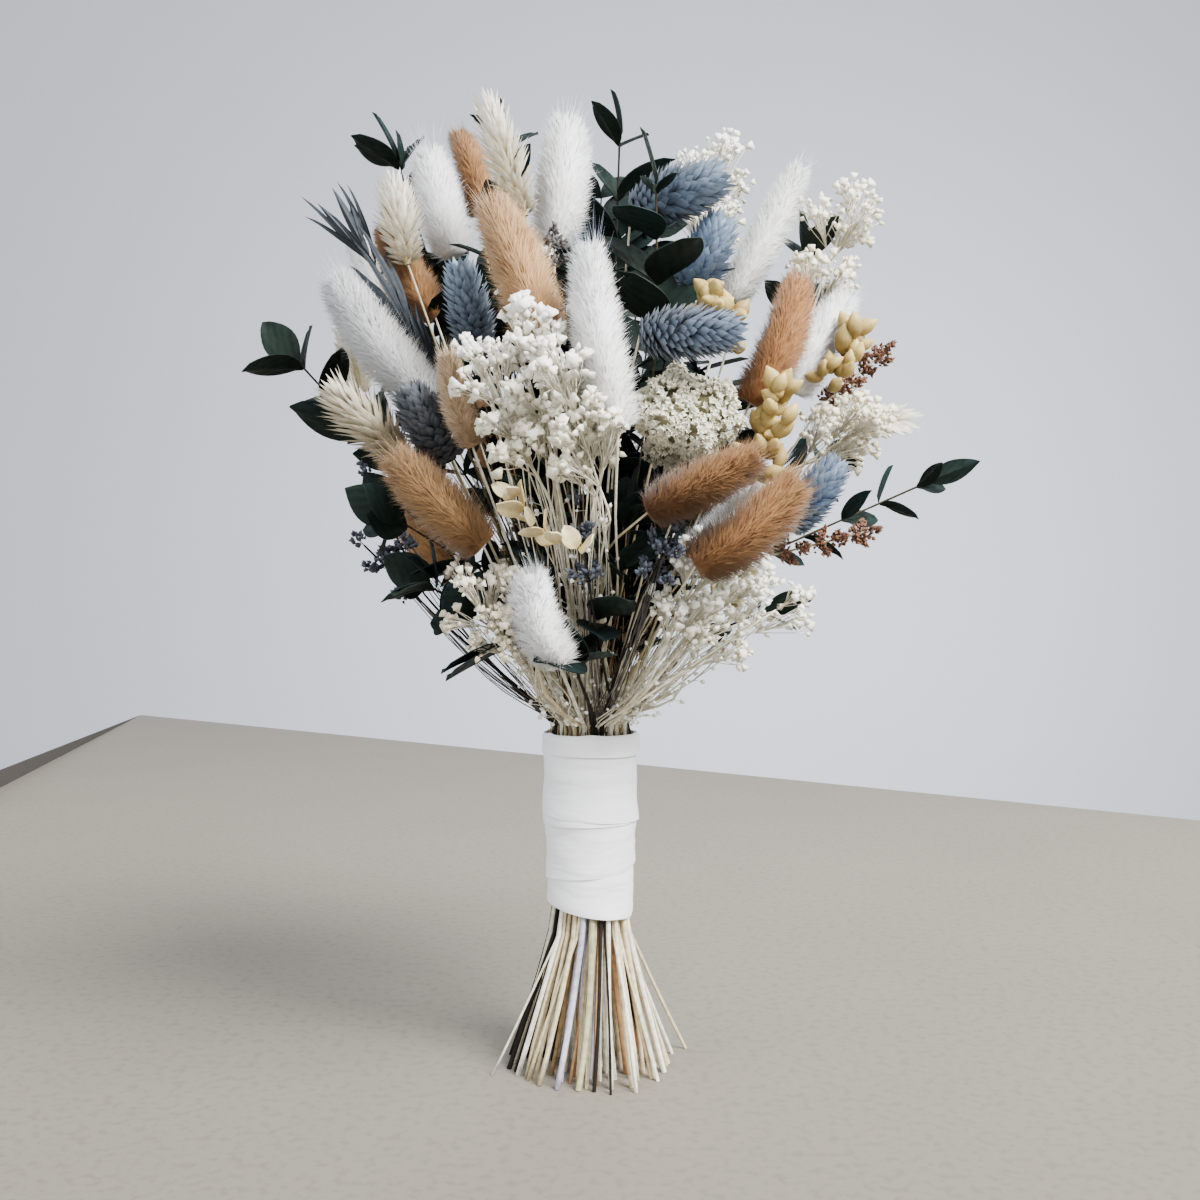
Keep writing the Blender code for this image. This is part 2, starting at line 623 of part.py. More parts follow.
class Room:
    """The room taken by pieces already placed."""

    def __init__(self):
        self.owners, self.lows, self.highs, self.trees = [], [], [], []

    def add(self, owner, piece):
        points, faces = piece
        self.owners.append(owner)
        self.lows.append(points.min(0))
        self.highs.append(points.max(0))
        self.trees.append(BVHTree.FromPolygons([Vector(p) for p in points], faces))

    def free(self, owner, piece):
        """True if the piece meets nothing but its own strand."""
        points, faces = piece
        other = np.array(self.owners) != owner
        above = (np.array(self.lows) < points.max(0)).all(1)
        below = (np.array(self.highs) > points.min(0)).all(1)
        near = np.flatnonzero(other & above & below)
        if not len(near):
            return True
        tree = BVHTree.FromPolygons([Vector(p) for p in points], faces)
        return not any(tree.overlap(self.trees[i]) for i in near)


# Pieces with no strand of their own number
LOOSE = -1


class Twig:
    """The straight last part of a strand, in rings whose open quads hold its sprouts."""

    def __init__(self, plant, neck_ring, frame, foot, tip, stops, owner, room):
        self.plant, self.foot, self.ahead = plant, foot, unit(tip - foot)
        self.stops, self.owner, self.room = stops, owner, room
        across_twig = np.array(carried_frame(tip - foot, frame[0]))
        low = neck_ring
        for k, t in enumerate(stops):
            radius = THIN_STEM + (TWIG_END_RADIUS - THIN_STEM) * t
            ring = plant.ring(foot + (tip - foot) * t + circle_of(4) @ across_twig * radius)
            plant.bridge(low, ring, gap=k if k else None)
            low = ring
        plant.hosts[("end", 0)] = tuple(low)

    def side_keys(self):
        return sorted(key for key in self.plant.hosts if key[0] != "end")

    def try_sprout(self, key, make, tries):
        """Raises the first of a sprout's tries that has room."""
        corners = np.array([self.plant.points[k] for k in self.plant.hosts[key]])
        root = corners.mean(0)
        out = root - self.foot
        out = unit(out - self.ahead * np.dot(out, self.ahead))
        if key[0] == "end":
            out, _ = across(self.ahead)
        for attempt in range(tries):
            rings, roomy, splits = make(root, self.ahead, out, attempt)
            if self.room.free(self.owner, alone(roomy, root)):
                self.plant.sprout(key, rings, splits)
                start = root + unit(rings[-1][0] - root) * 0.6
                self.room.add(LOOSE, alone(rings, start, 0.3))
                return


def leaf_maker(rng, length, width, least_lean, most_lean):
    """Tries of one leaf, which swing wider and shrink a little as they fail."""

    def make(root, ahead, out, attempt):
        spin = rng.normal(0, 0.12 + 0.07 * attempt)
        out = out * math.cos(spin) + np.cross(ahead, out) * math.sin(spin)
        lean = rng.uniform(least_lean, most_lean)
        way = unit(ahead * math.cos(lean) + out * math.sin(lean))
        face = unit(ahead * math.sin(lean) - out * math.cos(lean))
        size = length * rng.uniform(0.88, 1.08) * (1.0 - 0.035 * attempt)
        bend = rng.uniform(-0.04, 0.2)
        rings = leaf(root, way, face, size, size * width, 0.0, bend)
        return rings, leaf(root, way, face, size, size * width, PIECE_GAP, bend), LEAF_SPLITS

    return make


def drop_maker(rng, length, radius, stalk, lean, lift=0.0):
    """Tries of one drop, which swing wider and shrink a little as they fail."""

    def make(root, ahead, out, attempt):
        spin = rng.normal(0, 0.2 + 0.08 * attempt)
        out = out * math.cos(spin) + np.cross(ahead, out) * math.sin(spin)
        tilt = lean * rng.uniform(0.8, 1.2)
        way = unit(ahead * math.cos(tilt) + out * math.sin(tilt) + np.array([0, 0, lift]))
        shrink = 1.0 - 0.04 * attempt
        size = rng.uniform(0.86, 1.08) * shrink
        far = stalk * rng.uniform(0.7, 1.1) * shrink
        rings = drop(root, way, length * size, radius * size, far, 0.0)
        return rings, drop(root, way, length * size, radius * size, far, PIECE_GAP), None

    return make


def twig_stops(kind, radius, length):
    """Ring heights along a twig, as shares of its length. Short gaps hold sprouts in pairs or whorls."""
    if kind in SPACED:
        gaps = SHORT_PODS if kind == "pods" and radius < SHORT_POD_RADIUS else SPACED[kind]
        return [0.04 + 0.96 * k / gaps for k in range(gaps + 1)]
    half = WHORL_HALF_HEIGHT / length
    if kind in WHORLS:
        dense = kind == "florets" and radius > DENSE_RADIUS
        middles = DENSE_WHORLS if dense else WHORLS[kind]
    else:
        pairs = BLADE_PAIRS if kind == "blades" else max(2, round(length / LEAF_SPACING))
        middles = [0.08 + 0.86 * k / (pairs - 1) for k in range(pairs)]
    stops = [middle + side * half for middle in middles for side in (-1, 1)]
    return stops + [1.0] if stops[-1] < 0.97 else stops[:-1] + [max(stops[-1], 1.0)]


def raise_leaves(row, twig, rng):
    size, end = (LEAF, END_LEAF) if row[1] == "leaves" else (BLADE, END_BLADE)
    length = SMALL_LEAVED.get(row[0], size[0])
    for gap, side in twig.side_keys():
        if gap % 2 and side % 2 == gap // 2 % 2:
            taper = 1.0 - (0.3 if row[1] == "leaves" else 0.36) * twig.stops[gap]
            twig.try_sprout((gap, side), leaf_maker(rng, length * taper, *size[1:]), SPROUT_TRIES)
    twig.try_sprout(("end", 0), leaf_maker(rng, *end), END_TRIES)


def raise_drops(row, twig, rng):
    kind = row[1]
    length, wide, stalk, lean = DROPS[kind]
    for gap, side in twig.side_keys():
        if (kind in WHORLS and gap % 2 == 0) or (kind not in WHORLS and side % 2 != gap % 2):
            continue
        reach, tilt, lift = stalk, lean, 0.0
        if kind == "florets":
            reach, tilt = (stalk * 1.45, lean * 0.8) if side % 2 else (stalk, lean * 1.25)
            lift = 0.25
        twig.try_sprout((gap, side), drop_maker(rng, length, wide, reach, tilt, lift), SPROUT_TRIES)
    twig.try_sprout(("end", 0), drop_maker(rng, length, wide, stalk * 0.4, 0.1), END_TRIES)


def grow_strand(i, line, waist_radius, room, rng):
    """One strand with its head: a surface, the twig that its sprouts stand on, and a dome's lobes."""
    _, kind, _, _, radius, fork = ROWS[i]
    foot, tip = line[NECK], line[TIP]
    plant = Grown()
    bare = kind in ("tail", "ear", "dome")
    low, frame = grow_stem(plant, line, fork, waist_radius, STEM_SIDES if bare else TWIGGY_STEM_SIDES)
    if kind == "tail":
        plant.stack(low, tufted(foot, tip, radius, TAIL_SHAPE, TAIL_SIDES, TAIL_TUFT, frame[0], rng))
    elif kind == "ear":
        plant.stack(low, ear(foot, tip, radius, frame[0], rng))
    elif kind == "dome":
        end = foot + (tip - foot) * DOME_STALK
        high = plant.ring(end + circle_of(4) @ np.array(frame) * THIN_STEM)
        plant.bridge(low, high)
        plant.cap(high, up=True)
        return plant, None, dome_lobes(foot, tip, radius, frame, rng)
    else:
        stops = twig_stops(kind, radius, np.linalg.norm(tip - foot))
        return plant, Twig(plant, low, frame, foot, tip, stops, i, room), []
    return plant, None, []


def ribbon_sleeve():
    """A plain sleeve round the ribbon, which keeps sprouts off it."""
    sleeve = Grown()
    outline = circle_of(WRAP_SIDES) * (RIBBON_TOP_RADIUS + 0.4)
    low = sleeve.ring(np.column_stack([outline, np.full(WRAP_SIDES, RIBBON_BOTTOM_Z)]))
    high = sleeve.ring(np.column_stack([outline, np.full(WRAP_SIDES, RIBBON_TOP_Z)]))
    sleeve.bridge(low, high)
    sleeve.cap(low, up=False)
    sleeve.cap(high, up=True)
    return sleeve.piece()


def grow_bouquet():
    """The pieces of every flower, by node name."""
    names, owner, main, waist_radii, points = lay_strands()
    points = push_apart(points, owner, main)
    rng = np.random.default_rng(SEED)
    room = Room()
    room.add(LOOSE, ribbon_sleeve())
    grown = []
    for i, line in enumerate(points):
        plant, twig, lobes = grow_strand(i, line, waist_radii[owner[i]], room, rng)
        grown.append((plant, twig, lobes))
        room.add(i, (np.array(plant.points), plant.faces + list(plant.hosts.values())))
        for lobe in lobes:
            room.add(i, lobe)
    for row, (plant, twig, lobes) in zip(ROWS, grown):
        if row[1] in ("leaves", "blades"):
            raise_leaves(row, twig, rng)
        elif twig:
            raise_drops(row, twig, rng)
    nodes = {name: [] for name in names}
    for row, (plant, twig, lobes) in zip(ROWS, grown):
        nodes[row[0]] += [plant.piece(), *lobes]
    return nodes


# Blender objects
def material_for(name):
    word = name.removeprefix("back_").split("_")[0]
    word = BACK_WORDS.get(word, word)
    found = bpy.data.materials.get(word)
    if found is None:
        colour, roughness = FINISHES[word]
        found = bpy.data.materials.new(word)
        found.diffuse_color = (*colour, 1.0)
        found.use_nodes = True
        inputs = found.node_tree.nodes["Principled BSDF"].inputs
        inputs["Base Color"].default_value = (*colour, 1.0)
        inputs["Roughness"].default_value = roughness
    return found


def object_of(name, piece, collection):
    points, faces = piece
    mesh = bpy.data.meshes.new(name)
    corners = [tuple(int(i) for i in face) for face in faces]
    mesh.from_pydata([tuple(p * MM) for p in points], [], corners)
    mesh.update()
    whole = bpy.data.objects.new(name, mesh)
    collection.objects.link(whole)
    return whole


def keep_main_shell(mesh):
    """Drops loose scraps and fills hollows that fusing sealed, by keeping the largest shell."""
    work = bmesh.new()
    work.from_mesh(mesh)
    seen, shells = set(), []
    for vert in work.verts:
        if vert in seen:
            continue
        stack, shell = [vert], []
        seen.add(vert)
        while stack:
            here = stack.pop()
            shell.append(here)
            fresh = [edge.other_vert(here) for edge in here.link_edges]
            fresh = [other for other in fresh if other not in seen]
            seen.update(fresh)
            stack.extend(fresh)
        shells.append(shell)
    shells.sort(key=len)
    for shell in shells[:-1]:
        bmesh.ops.delete(work, geom=shell, context="VERTS")
    work.to_mesh(mesh)
    work.free()


def fuse(name, pieces):
    """One node from its pieces, with its arms and lobes joined to its main stem."""
    scene = bpy.context.scene.collection
    whole = object_of(name, pieces[0], scene)
    if len(pieces) > 1:
        group = bpy.data.collections.new(name + "_arms")
        scene.children.link(group)
        for k, piece in enumerate(pieces[1:]):
            object_of(f"arm_{k}", piece, group)
        join = whole.modifiers.new("join", "BOOLEAN")
        join.operation = "UNION"
        join.operand_type = "COLLECTION"
        join.collection = group
        join.solver = "MANIFOLD"
        graph = bpy.context.evaluated_depsgraph_get()
        joined = bpy.data.meshes.new_from_object(whole.evaluated_get(graph))
        whole.modifiers.clear()
        joined.materials.clear()
        whole.data = joined
        for arm in list(group.objects):
            bpy.data.objects.remove(arm)
        bpy.data.collections.remove(group)
        keep_main_shell(joined)
    whole.data.materials.append(material_for(name))


def level_circle(z, radius, slant=0.0):
    outline = circle_of(WRAP_SIDES)
    bearings = np.arctan2(outline[:, 1], outline[:, 0])
    return np.column_stack([outline * radius, z + slant * np.cos(bearings - RIBBON_SLANT_BEARING)])


def make_ring(name, rings):
    """A closed ring from circles taken round its section in order."""
    whole = Grown()
    found = [whole.ring(places) for places in rings]
    for low, high in zip(found, found[1:] + found[:1]):
        whole.bridge(low, high)
    made = object_of(name, whole.piece(), bpy.context.scene.collection)
    made.data.materials.append(material_for(name))


def around(radius):
    """The radius whose flats clear a circle."""
    return radius / math.cos(math.pi / WRAP_SIDES)


def make_ribbon():
    """The wound ribbon, whose turns step out and slant round the stems, with a bay for the twine."""
    inner = around(BUNDLE_RADIUS + FIT_GAP)
    bay = around(TWINE_OUTER_RADIUS + FIT_GAP)
    bay_half = TWINE_HALF_HEIGHT + FIT_GAP
    low_edge, high_edge = RIBBON_TURN_EDGES
    middle = (RIBBON_BOTTOM_RADIUS + RIBBON_TOP_RADIUS) / 2
    rings = [
        level_circle(RIBBON_BOTTOM_Z, RIBBON_BOTTOM_RADIUS),
        level_circle(low_edge, RIBBON_BOTTOM_RADIUS + 0.1, RIBBON_SLANT),
        level_circle(low_edge + RIBBON_EDGE, middle, RIBBON_SLANT),
        level_circle(high_edge, middle + 0.2, RIBBON_SLANT),
        level_circle(high_edge + RIBBON_EDGE, RIBBON_TOP_RADIUS - 0.1, RIBBON_SLANT),
        level_circle(RIBBON_TOP_Z, RIBBON_TOP_RADIUS),
        level_circle(RIBBON_TOP_Z, inner),
        level_circle(TIE_Z + bay_half + BAY_SLOPE, inner),
        level_circle(TIE_Z + bay_half, bay),
        level_circle(TIE_Z - bay_half, bay),
        level_circle(TIE_Z - bay_half - BAY_SLOPE, inner),
        level_circle(RIBBON_BOTTOM_Z, inner),
    ]
    make_ring("ribbon_wrap", rings)


def make_twine():
    """Turns of twine drawn tight round the stems, under the ribbon."""
    low = TIE_Z - TWINE_HALF_HEIGHT
    pitch = 2 * TWINE_HALF_HEIGHT / TWINE_TURNS
    groove = TWINE_OUTER_RADIUS - TWINE_CORD_DEPTH
    inner = around(BUNDLE_RADIUS + FIT_GAP)
    rings = [level_circle(low, groove)]
    for k in range(TWINE_TURNS):
        rings.append(level_circle(low + pitch * (k + 0.5), TWINE_OUTER_RADIUS))
        rings.append(level_circle(low + pitch * (k + 1), groove))
    rings.append(level_circle(TIE_Z + TWINE_HALF_HEIGHT, inner))
    rings.append(level_circle(low, inner))
    make_ring("binding_twine", rings)


def main():
    for obj in list(bpy.data.objects):
        bpy.data.objects.remove(obj)
    for name, pieces in grow_bouquet().items():
        fuse(name, pieces)
    make_ribbon()
    make_twine()


main()
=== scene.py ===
import math

import bmesh
import bpy
import numpy as np
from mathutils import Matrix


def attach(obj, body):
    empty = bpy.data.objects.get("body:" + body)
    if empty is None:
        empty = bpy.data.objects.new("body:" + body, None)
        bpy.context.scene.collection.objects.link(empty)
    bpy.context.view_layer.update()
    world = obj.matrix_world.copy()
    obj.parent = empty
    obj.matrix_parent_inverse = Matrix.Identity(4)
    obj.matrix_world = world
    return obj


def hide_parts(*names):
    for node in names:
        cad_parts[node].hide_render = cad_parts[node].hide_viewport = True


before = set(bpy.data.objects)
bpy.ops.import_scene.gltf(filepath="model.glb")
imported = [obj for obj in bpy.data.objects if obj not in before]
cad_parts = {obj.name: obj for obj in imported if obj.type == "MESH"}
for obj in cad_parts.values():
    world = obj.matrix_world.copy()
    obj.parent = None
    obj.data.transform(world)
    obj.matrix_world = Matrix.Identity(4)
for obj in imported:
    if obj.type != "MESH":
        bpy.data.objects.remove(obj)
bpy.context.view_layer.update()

mm = 0.001
dice = np.random.default_rng(615)
madeOf = {"faces": 0, "pieces": 0}
fullTurn = 2 * math.pi


# Small vector helpers. Rows of an array are points.
def unit(vector):
    vector = np.asarray(vector, float)
    return vector / np.maximum(np.linalg.norm(vector, axis=-1, keepdims=True), 1e-12)


def across(way, turn=0.0):
    way = unit(way)
    seed = np.where(np.abs(way[..., 2:3]) < 0.9, [0.0, 0.0, 1.0], [0.0, 1.0, 0.0])
    first = unit(np.cross(way, seed))
    second = np.cross(way, first)
    c, s = np.cos(turn), np.sin(turn)
    if np.ndim(turn):
        c, s = np.asarray(c)[:, None], np.asarray(s)[:, None]
    return first * c + second * s, second * c - first * s


def mix(low, high, share):
    share = np.asarray(share)[..., None]
    return np.asarray(low) * (1 - share) + np.asarray(high) * share


# Directions round an axis, one for each turn, from two that cross it
def spokes(turn, first, second):
    return np.outer(np.cos(turn), first) + np.outer(np.sin(turn), second)


# Directions that lean from one way towards another
def leaning(way, out, lean):
    return way * np.cos(lean)[:, None] + out * np.sin(lean)[:, None]


# A random step in the level plane, with its spread in mm
def sideways(spread):
    return np.array([*dice.normal(0, spread, 2), 0]) * mm


def lower(point, depth):
    return point - [0, 0, depth * mm]


# What is made keeps the other flowers' draws as they were
def drawnApart(make, flower):
    place = dice.bit_generator.state
    parts = make(flower)
    dice.bit_generator.state = place
    return parts


# A CAD flower is grown in rings of corners, so its rings can be walked from any tip.
headRings = {"tail": (8, 8, 8, 8), "ear": (6,) * 8, "leaf": (4, 4, 4), "stalk": (4, 4, 4), "drop": (4, 4)}
kindWords = {
    "tail": "tail", "dome": "dome", "pods": "drop", "rust": "drop", "bud": "stalk", "seed": "stalk",
    "blade": "leaf", "leafy": "leaf", "floret": "stalk", "head": "ear",
}


def kindOf(node):
    return next(kind for word, kind in kindWords.items() if word in node)


def readCorners(node):
    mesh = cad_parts[node].data
    mesh.calc_loop_triangles()
    points = np.empty(len(mesh.vertices) * 3)
    mesh.vertices.foreach_get("co", points)
    corners = np.empty(len(mesh.loop_triangles) * 3, np.int32)
    mesh.loop_triangles.foreach_get("vertices", corners)
    points = points.reshape(-1, 3)
    _, first, merged = np.unique(np.round(points * 1e6), axis=0, return_index=True, return_inverse=True)
    faces = merged.reshape(-1)[corners].reshape(-1, 3)
    near = [set() for _ in first]
    for a, b, c in faces.tolist():
        near[a] |= {b, c}
        near[b] |= {a, c}
        near[c] |= {a, b}
    return points[first], faces, near


def ringsFrom(near, start, taken=(), most=40):
    rings, ring = [], set(start)
    seen = set(taken) | ring
    while len(rings) < most:
        ring = set().union(*(near[v] for v in ring)) - seen
        if not 3 <= len(ring) <= 8:
            break
        seen |= ring
        rings.append(sorted(ring))
    return rings


def centres(points, rings):
    return [points[ring].mean(0) for ring in rings]


def findTips(points, near, counts):
    found = []
    for v, around in enumerate(near):
        if len(around) != counts[0] or any(len(near[r] & around) != 2 for r in around):
            continue
        ways = unit(points[list(around)] - points[v])
        if counts[0] == 4 and np.linalg.norm(ways.mean(0)) < 0.6:
            continue
        rings = ringsFrom(near, [v], most=len(counts))
        if tuple(map(len, rings)) == counts:
            found.append((v, rings))
    return found


# Stems, heads and sprouts of one flower: a stem is a list of points from its top to its cut end.
def readFlower(node):
    points, faces, near = readCorners(node)
    kind = kindOf(node)
    foot = [v for v in range(len(points)) if points[v, 2] < 1e-5]
    low = sorted(set().union(*(near[v] for v in foot)) - set(foot))
    high = sorted(set().union(*(near[v] for v in low)) - set(low) - set(foot))
    base = centres(points, (foot, low, high))
    flower = {"node": node, "kind": kind, "stems": [], "heads": [], "sprouts": [], "base": base}
    flower["waist"] = np.linalg.norm(points[foot] - base[0], axis=1).mean()
    tieTop = base[2][2] + 6 * mm

    def stemFrom(start, taken):
        line = centres(points, [start] + ringsFrom(near, start, taken))
        return np.array([line[0]] + [p for p in line[1:] if p[2] > tieTop])

    if kind == "dome":
        rings = [foot] + ringsFrom(near, foot, most=6)
        below = {v for ring in rings for v in ring}
        flower["stems"].append(np.array(centres(points, rings[3:]))[::-1])
        flower["dome"] = points, faces[[not (set(f) <= below) for f in faces.tolist()]]
    elif kind in ("tail", "ear"):
        for tip, rings in findTips(points, near, headRings[kind]):
            taken = {v for ring in rings for v in ring} | {tip}
            neck = ringsFrom(near, [tip], most=len(rings) + 1)[-1]
            middle, end = points[neck].mean(0), points[tip]
            way = unit(end - middle)
            spread = np.concatenate([points[ring] for ring in rings]) - middle
            reach = np.linalg.norm(spread - np.outer(spread @ way, way), axis=1).max()
            flower["heads"].append((middle, end, reach))
            flower["stems"].append(stemFrom(neck, taken))
    else:
        tips = findTips(points, near, headRings[kind])
        taken = {tip for tip, _ in tips} | {v for _, rings in tips for ring in rings[:-1] for v in ring}
        for tip, rings in tips:
            host = rings[-1]
            after = ringsFrom(near, host, taken, most=1)
            flower["sprouts"].append((points[host].mean(0), [points[r] for r in rings[:-1]], points[tip]))
            if after and len(after[0]) == 4:
                flower["stems"].append(stemFrom(host, taken))
    if not flower["stems"]:
        line = np.array(centres(points, ([foot] + ringsFrom(near, foot, taken))[::-1]))
        flower["stems"].append(line[line[:, 2] > tieTop])
    flower["stems"].sort(key=lambda line: line[-1][2])
    return flower


print("reading the flowers")
flowers = {n: readFlower(n) for n in sorted(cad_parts) if n not in ("ribbon_wrap", "binding_twine")}


# Shapes that repeat: each is modelled once from a primitive, then copied. They run along Z from 0 to 1,
# X is their width and Y their face.
def startShape(add, **sizes):
    if bpy.context.object and bpy.context.object.mode != "OBJECT":
        bpy.ops.object.mode_set(mode="OBJECT")
    bpy.ops.object.select_all(action="DESELECT")
    add(**sizes)
    bpy.ops.object.transform_apply(location=True, rotation=False, scale=False)
    bpy.ops.object.mode_set(mode="EDIT")
    bpy.ops.mesh.select_mode(type="VERT")


def pick(test):
    work = bmesh.from_edit_mesh(bpy.context.object.data)
    for vert in work.verts:
        vert.select = bool(test(vert.co))
    work.select_flush(True)
    bmesh.update_edit_mesh(bpy.context.object.data)


def everywhere(co):
    return True


def higherThan(height):
    return lambda co: co.z > height


def widen(test, x=1.0, y=1.0):
    pick(test)
    bpy.ops.transform.resize(value=(x, y, 1.0), center_override=(0, 0, 0))


def move(test, x=0.0, y=0.0, z=0.0):
    pick(test)
    bpy.ops.transform.translate(value=(x, y, z))


def cutAcross(heights):
    for height in heights:
        pick(everywhere)
        bpy.ops.mesh.bisect(plane_co=(0, 0, height), plane_no=(0, 0, 1))


def takeShape(thickness=0.0):
    pick(everywhere)
    bpy.ops.object.mode_set(mode="OBJECT")
    made = bpy.context.object
    if thickness:
        wall = made.modifiers.new("wall", "SOLIDIFY")
        wall.thickness = thickness
        wall.offset = 0
        bpy.ops.object.modifier_apply(modifier="wall")
    bpy.ops.object.mode_set(mode="EDIT")
    bpy.ops.mesh.select_all(action="SELECT")
    bpy.ops.mesh.remove_doubles(threshold=1e-5)
    bpy.ops.mesh.quads_convert_to_tris()
    bpy.ops.mesh.normals_make_consistent(inside=False)
    bpy.ops.object.mode_set(mode="OBJECT")
    points = np.array([v.co[:] for v in made.data.vertices])
    faces = np.array([p.vertices[:] for p in made.data.polygons])
    bpy.data.objects.remove(made)
    return points, faces


def atHeight(height):
    return lambda co: abs(co.z - height) < 0.02


def startCone(sides, low, high, depth, middle):
    add = bpy.ops.mesh.primitive_cone_add
    startShape(add, vertices=sides, radius1=low, radius2=high, depth=depth, location=(0, 0, middle))


# A straight hair: a long spike of three sides
def makeHair():
    startCone(3, 1, 0, 1, 0.5)
    return takeShape()


# A dry bract: a pointed boat with its keel outwards and a hollow face
def makeBract():
    startCone(4, 0.5, 0, 1, 0.5)
    cutAcross((0.3, 0.66))
    widen(atHeight(0), x=0.3, y=0.24)
    widen(atHeight(0.3), x=1.45, y=0.8)
    widen(atHeight(0.66), x=2.2)
    move(lambda co: co.y < -0.05, y=0.17)
    move(higherThan(0.5), y=0.03)
    move(higherThan(0.9), y=0.1)
    return takeShape()


# A leaf: a lens with a pressed midrib and slightly raised edges
def makeLeaf(rows, columns, widest, fullness, fold, thickness):
    startShape(bpy.ops.mesh.primitive_grid_add, x_subdivisions=columns, y_subdivisions=rows, size=1)
    for k in range(rows + 1):
        t = k / rows
        wide = math.sin(math.pi * t**widest) ** fullness if 0 < k < rows else 0.0
        widen(lambda co: abs(co.y - (t - 0.5)) < 0.01, x=max(wide, 0.07 if k == 0 else 0.03))
    for k in range(1, columns // 2 + 1):
        move(lambda co: abs(co.x) > k / columns * 0.35, z=fold / columns)
    points, faces = takeShape(thickness)
    return np.stack([points[:, 0], points[:, 2], points[:, 1] + 0.5], 1), faces


# An open floret: a star of five petals round a sunken eye, on a pointed foot
def makeStar():
    startCone(10, 0.12, 0.5, 0.5, 0.55)
    bpy.ops.mesh.select_all(action="DESELECT")
    pick(higherThan(0.7))
    bpy.ops.mesh.inset(thickness=0.3, depth=0.02)
    move(lambda co: co.z > 0.7 and math.hypot(co.x, co.y) < 0.3, z=-0.12)
    half = math.pi / 5

    def betweenPetals(co):
        turn = (math.atan2(co.y, co.x) / half) % 2
        return co.z > 0.7 and math.hypot(co.x, co.y) > 0.35 and (turn < 0.5 or turn > 1.5)

    widen(betweenPetals, x=0.62, y=0.62)
    move(lambda co: co.z < 0.35, z=-0.3)
    return takeShape()


# A crumb of a dome: a cup of four ragged lobes with a deep heart
def makeCrumb():
    startCone(8, 0.1, 0.5, 0.6, 0.7)
    bpy.ops.mesh.select_all(action="DESELECT")
    pick(higherThan(0.9))
    bpy.ops.mesh.poke()
    move(lambda co: co.z > 0.9 and math.hypot(co.x, co.y) < 0.1, z=-0.34)
    quarter = math.pi / 4

    def betweenLobes(co):
        return co.z > 0.9 and round(math.atan2(co.y, co.x) / quarter) % 2 == 1

    move(betweenLobes, z=-0.12)
    widen(lambda co: 0.8 < co.z < 0.95, x=0.5, y=0.5)
    move(lambda co: co.z < 0.45, z=-0.4)
    return takeShape()


# A closed bud or bead: a small round body drawn out to a point
def makeBead(point, narrow=1.0):
    startShape(bpy.ops.mesh.primitive_ico_sphere_add, subdivisions=1, radius=0.5, location=(0, 0, 0.5))
    widen(higherThan(0.6), x=0.8 * narrow, y=0.8 * narrow)
    move(higherThan(0.95), z=point)
    points, faces = takeShape()
    points[:, 2] /= 1 + point
    return points, faces


# A plump pod with low ridges and a short drawn-out tip
def makePod():
    add = bpy.ops.mesh.primitive_uv_sphere_add
    startShape(add, segments=12, ring_count=8, radius=0.5, location=(0, 0, 0.5))
    turn = math.pi / 6
    widen(lambda co: round(math.atan2(co.y, co.x) / turn) % 2 == 1 and 0.05 < co.z < 0.95, x=0.94, y=0.94)
    widen(higherThan(0.8), x=0.86, y=0.86)
    move(higherThan(0.97), z=0.09)
    widen(everywhere, y=0.9)
    points, faces = takeShape()
    points[:, 2] /= points[:, 2].max()
    return points, faces


print("modelling the shapes that repeat")
shapes = {
    "hair": makeHair(),
    "bract": makeBract(),
    "leaf": makeLeaf(10, 4, 0.92, 0.8, 0.11, 0.014),
    "plainLeaf": makeLeaf(6, 2, 0.92, 0.8, 0.11, 0.014),
    "blade": makeLeaf(8, 4, 0.8, 0.85, 0.5, 0.01),
    "paper": makeLeaf(8, 4, 0.85, 0.62, -0.14, 0.05),
    "star": makeStar(),
    "crumb": makeCrumb(),
    "bead": makeBead(0.25),
    "grain": makeBead(0.6, 0.9),
    "pod": makePod(),
}


# A part of a piece: its corners, triangles, tints, pattern places and shading directions
def makePart(points, faces, tint, grain, lean=None, finish=0):
    points = np.asarray(points, float).reshape(-1, 3)
    tint = np.broadcast_to(tint, points.shape).astype(np.float32)
    grain = np.broadcast_to(grain, (len(points), 2)).astype(np.float32)
    lean = np.zeros_like(points) if lean is None else lean
    return {"points": points, "faces": faces, "tint": tint, "grain": grain, "lean": lean, "finish": finish}


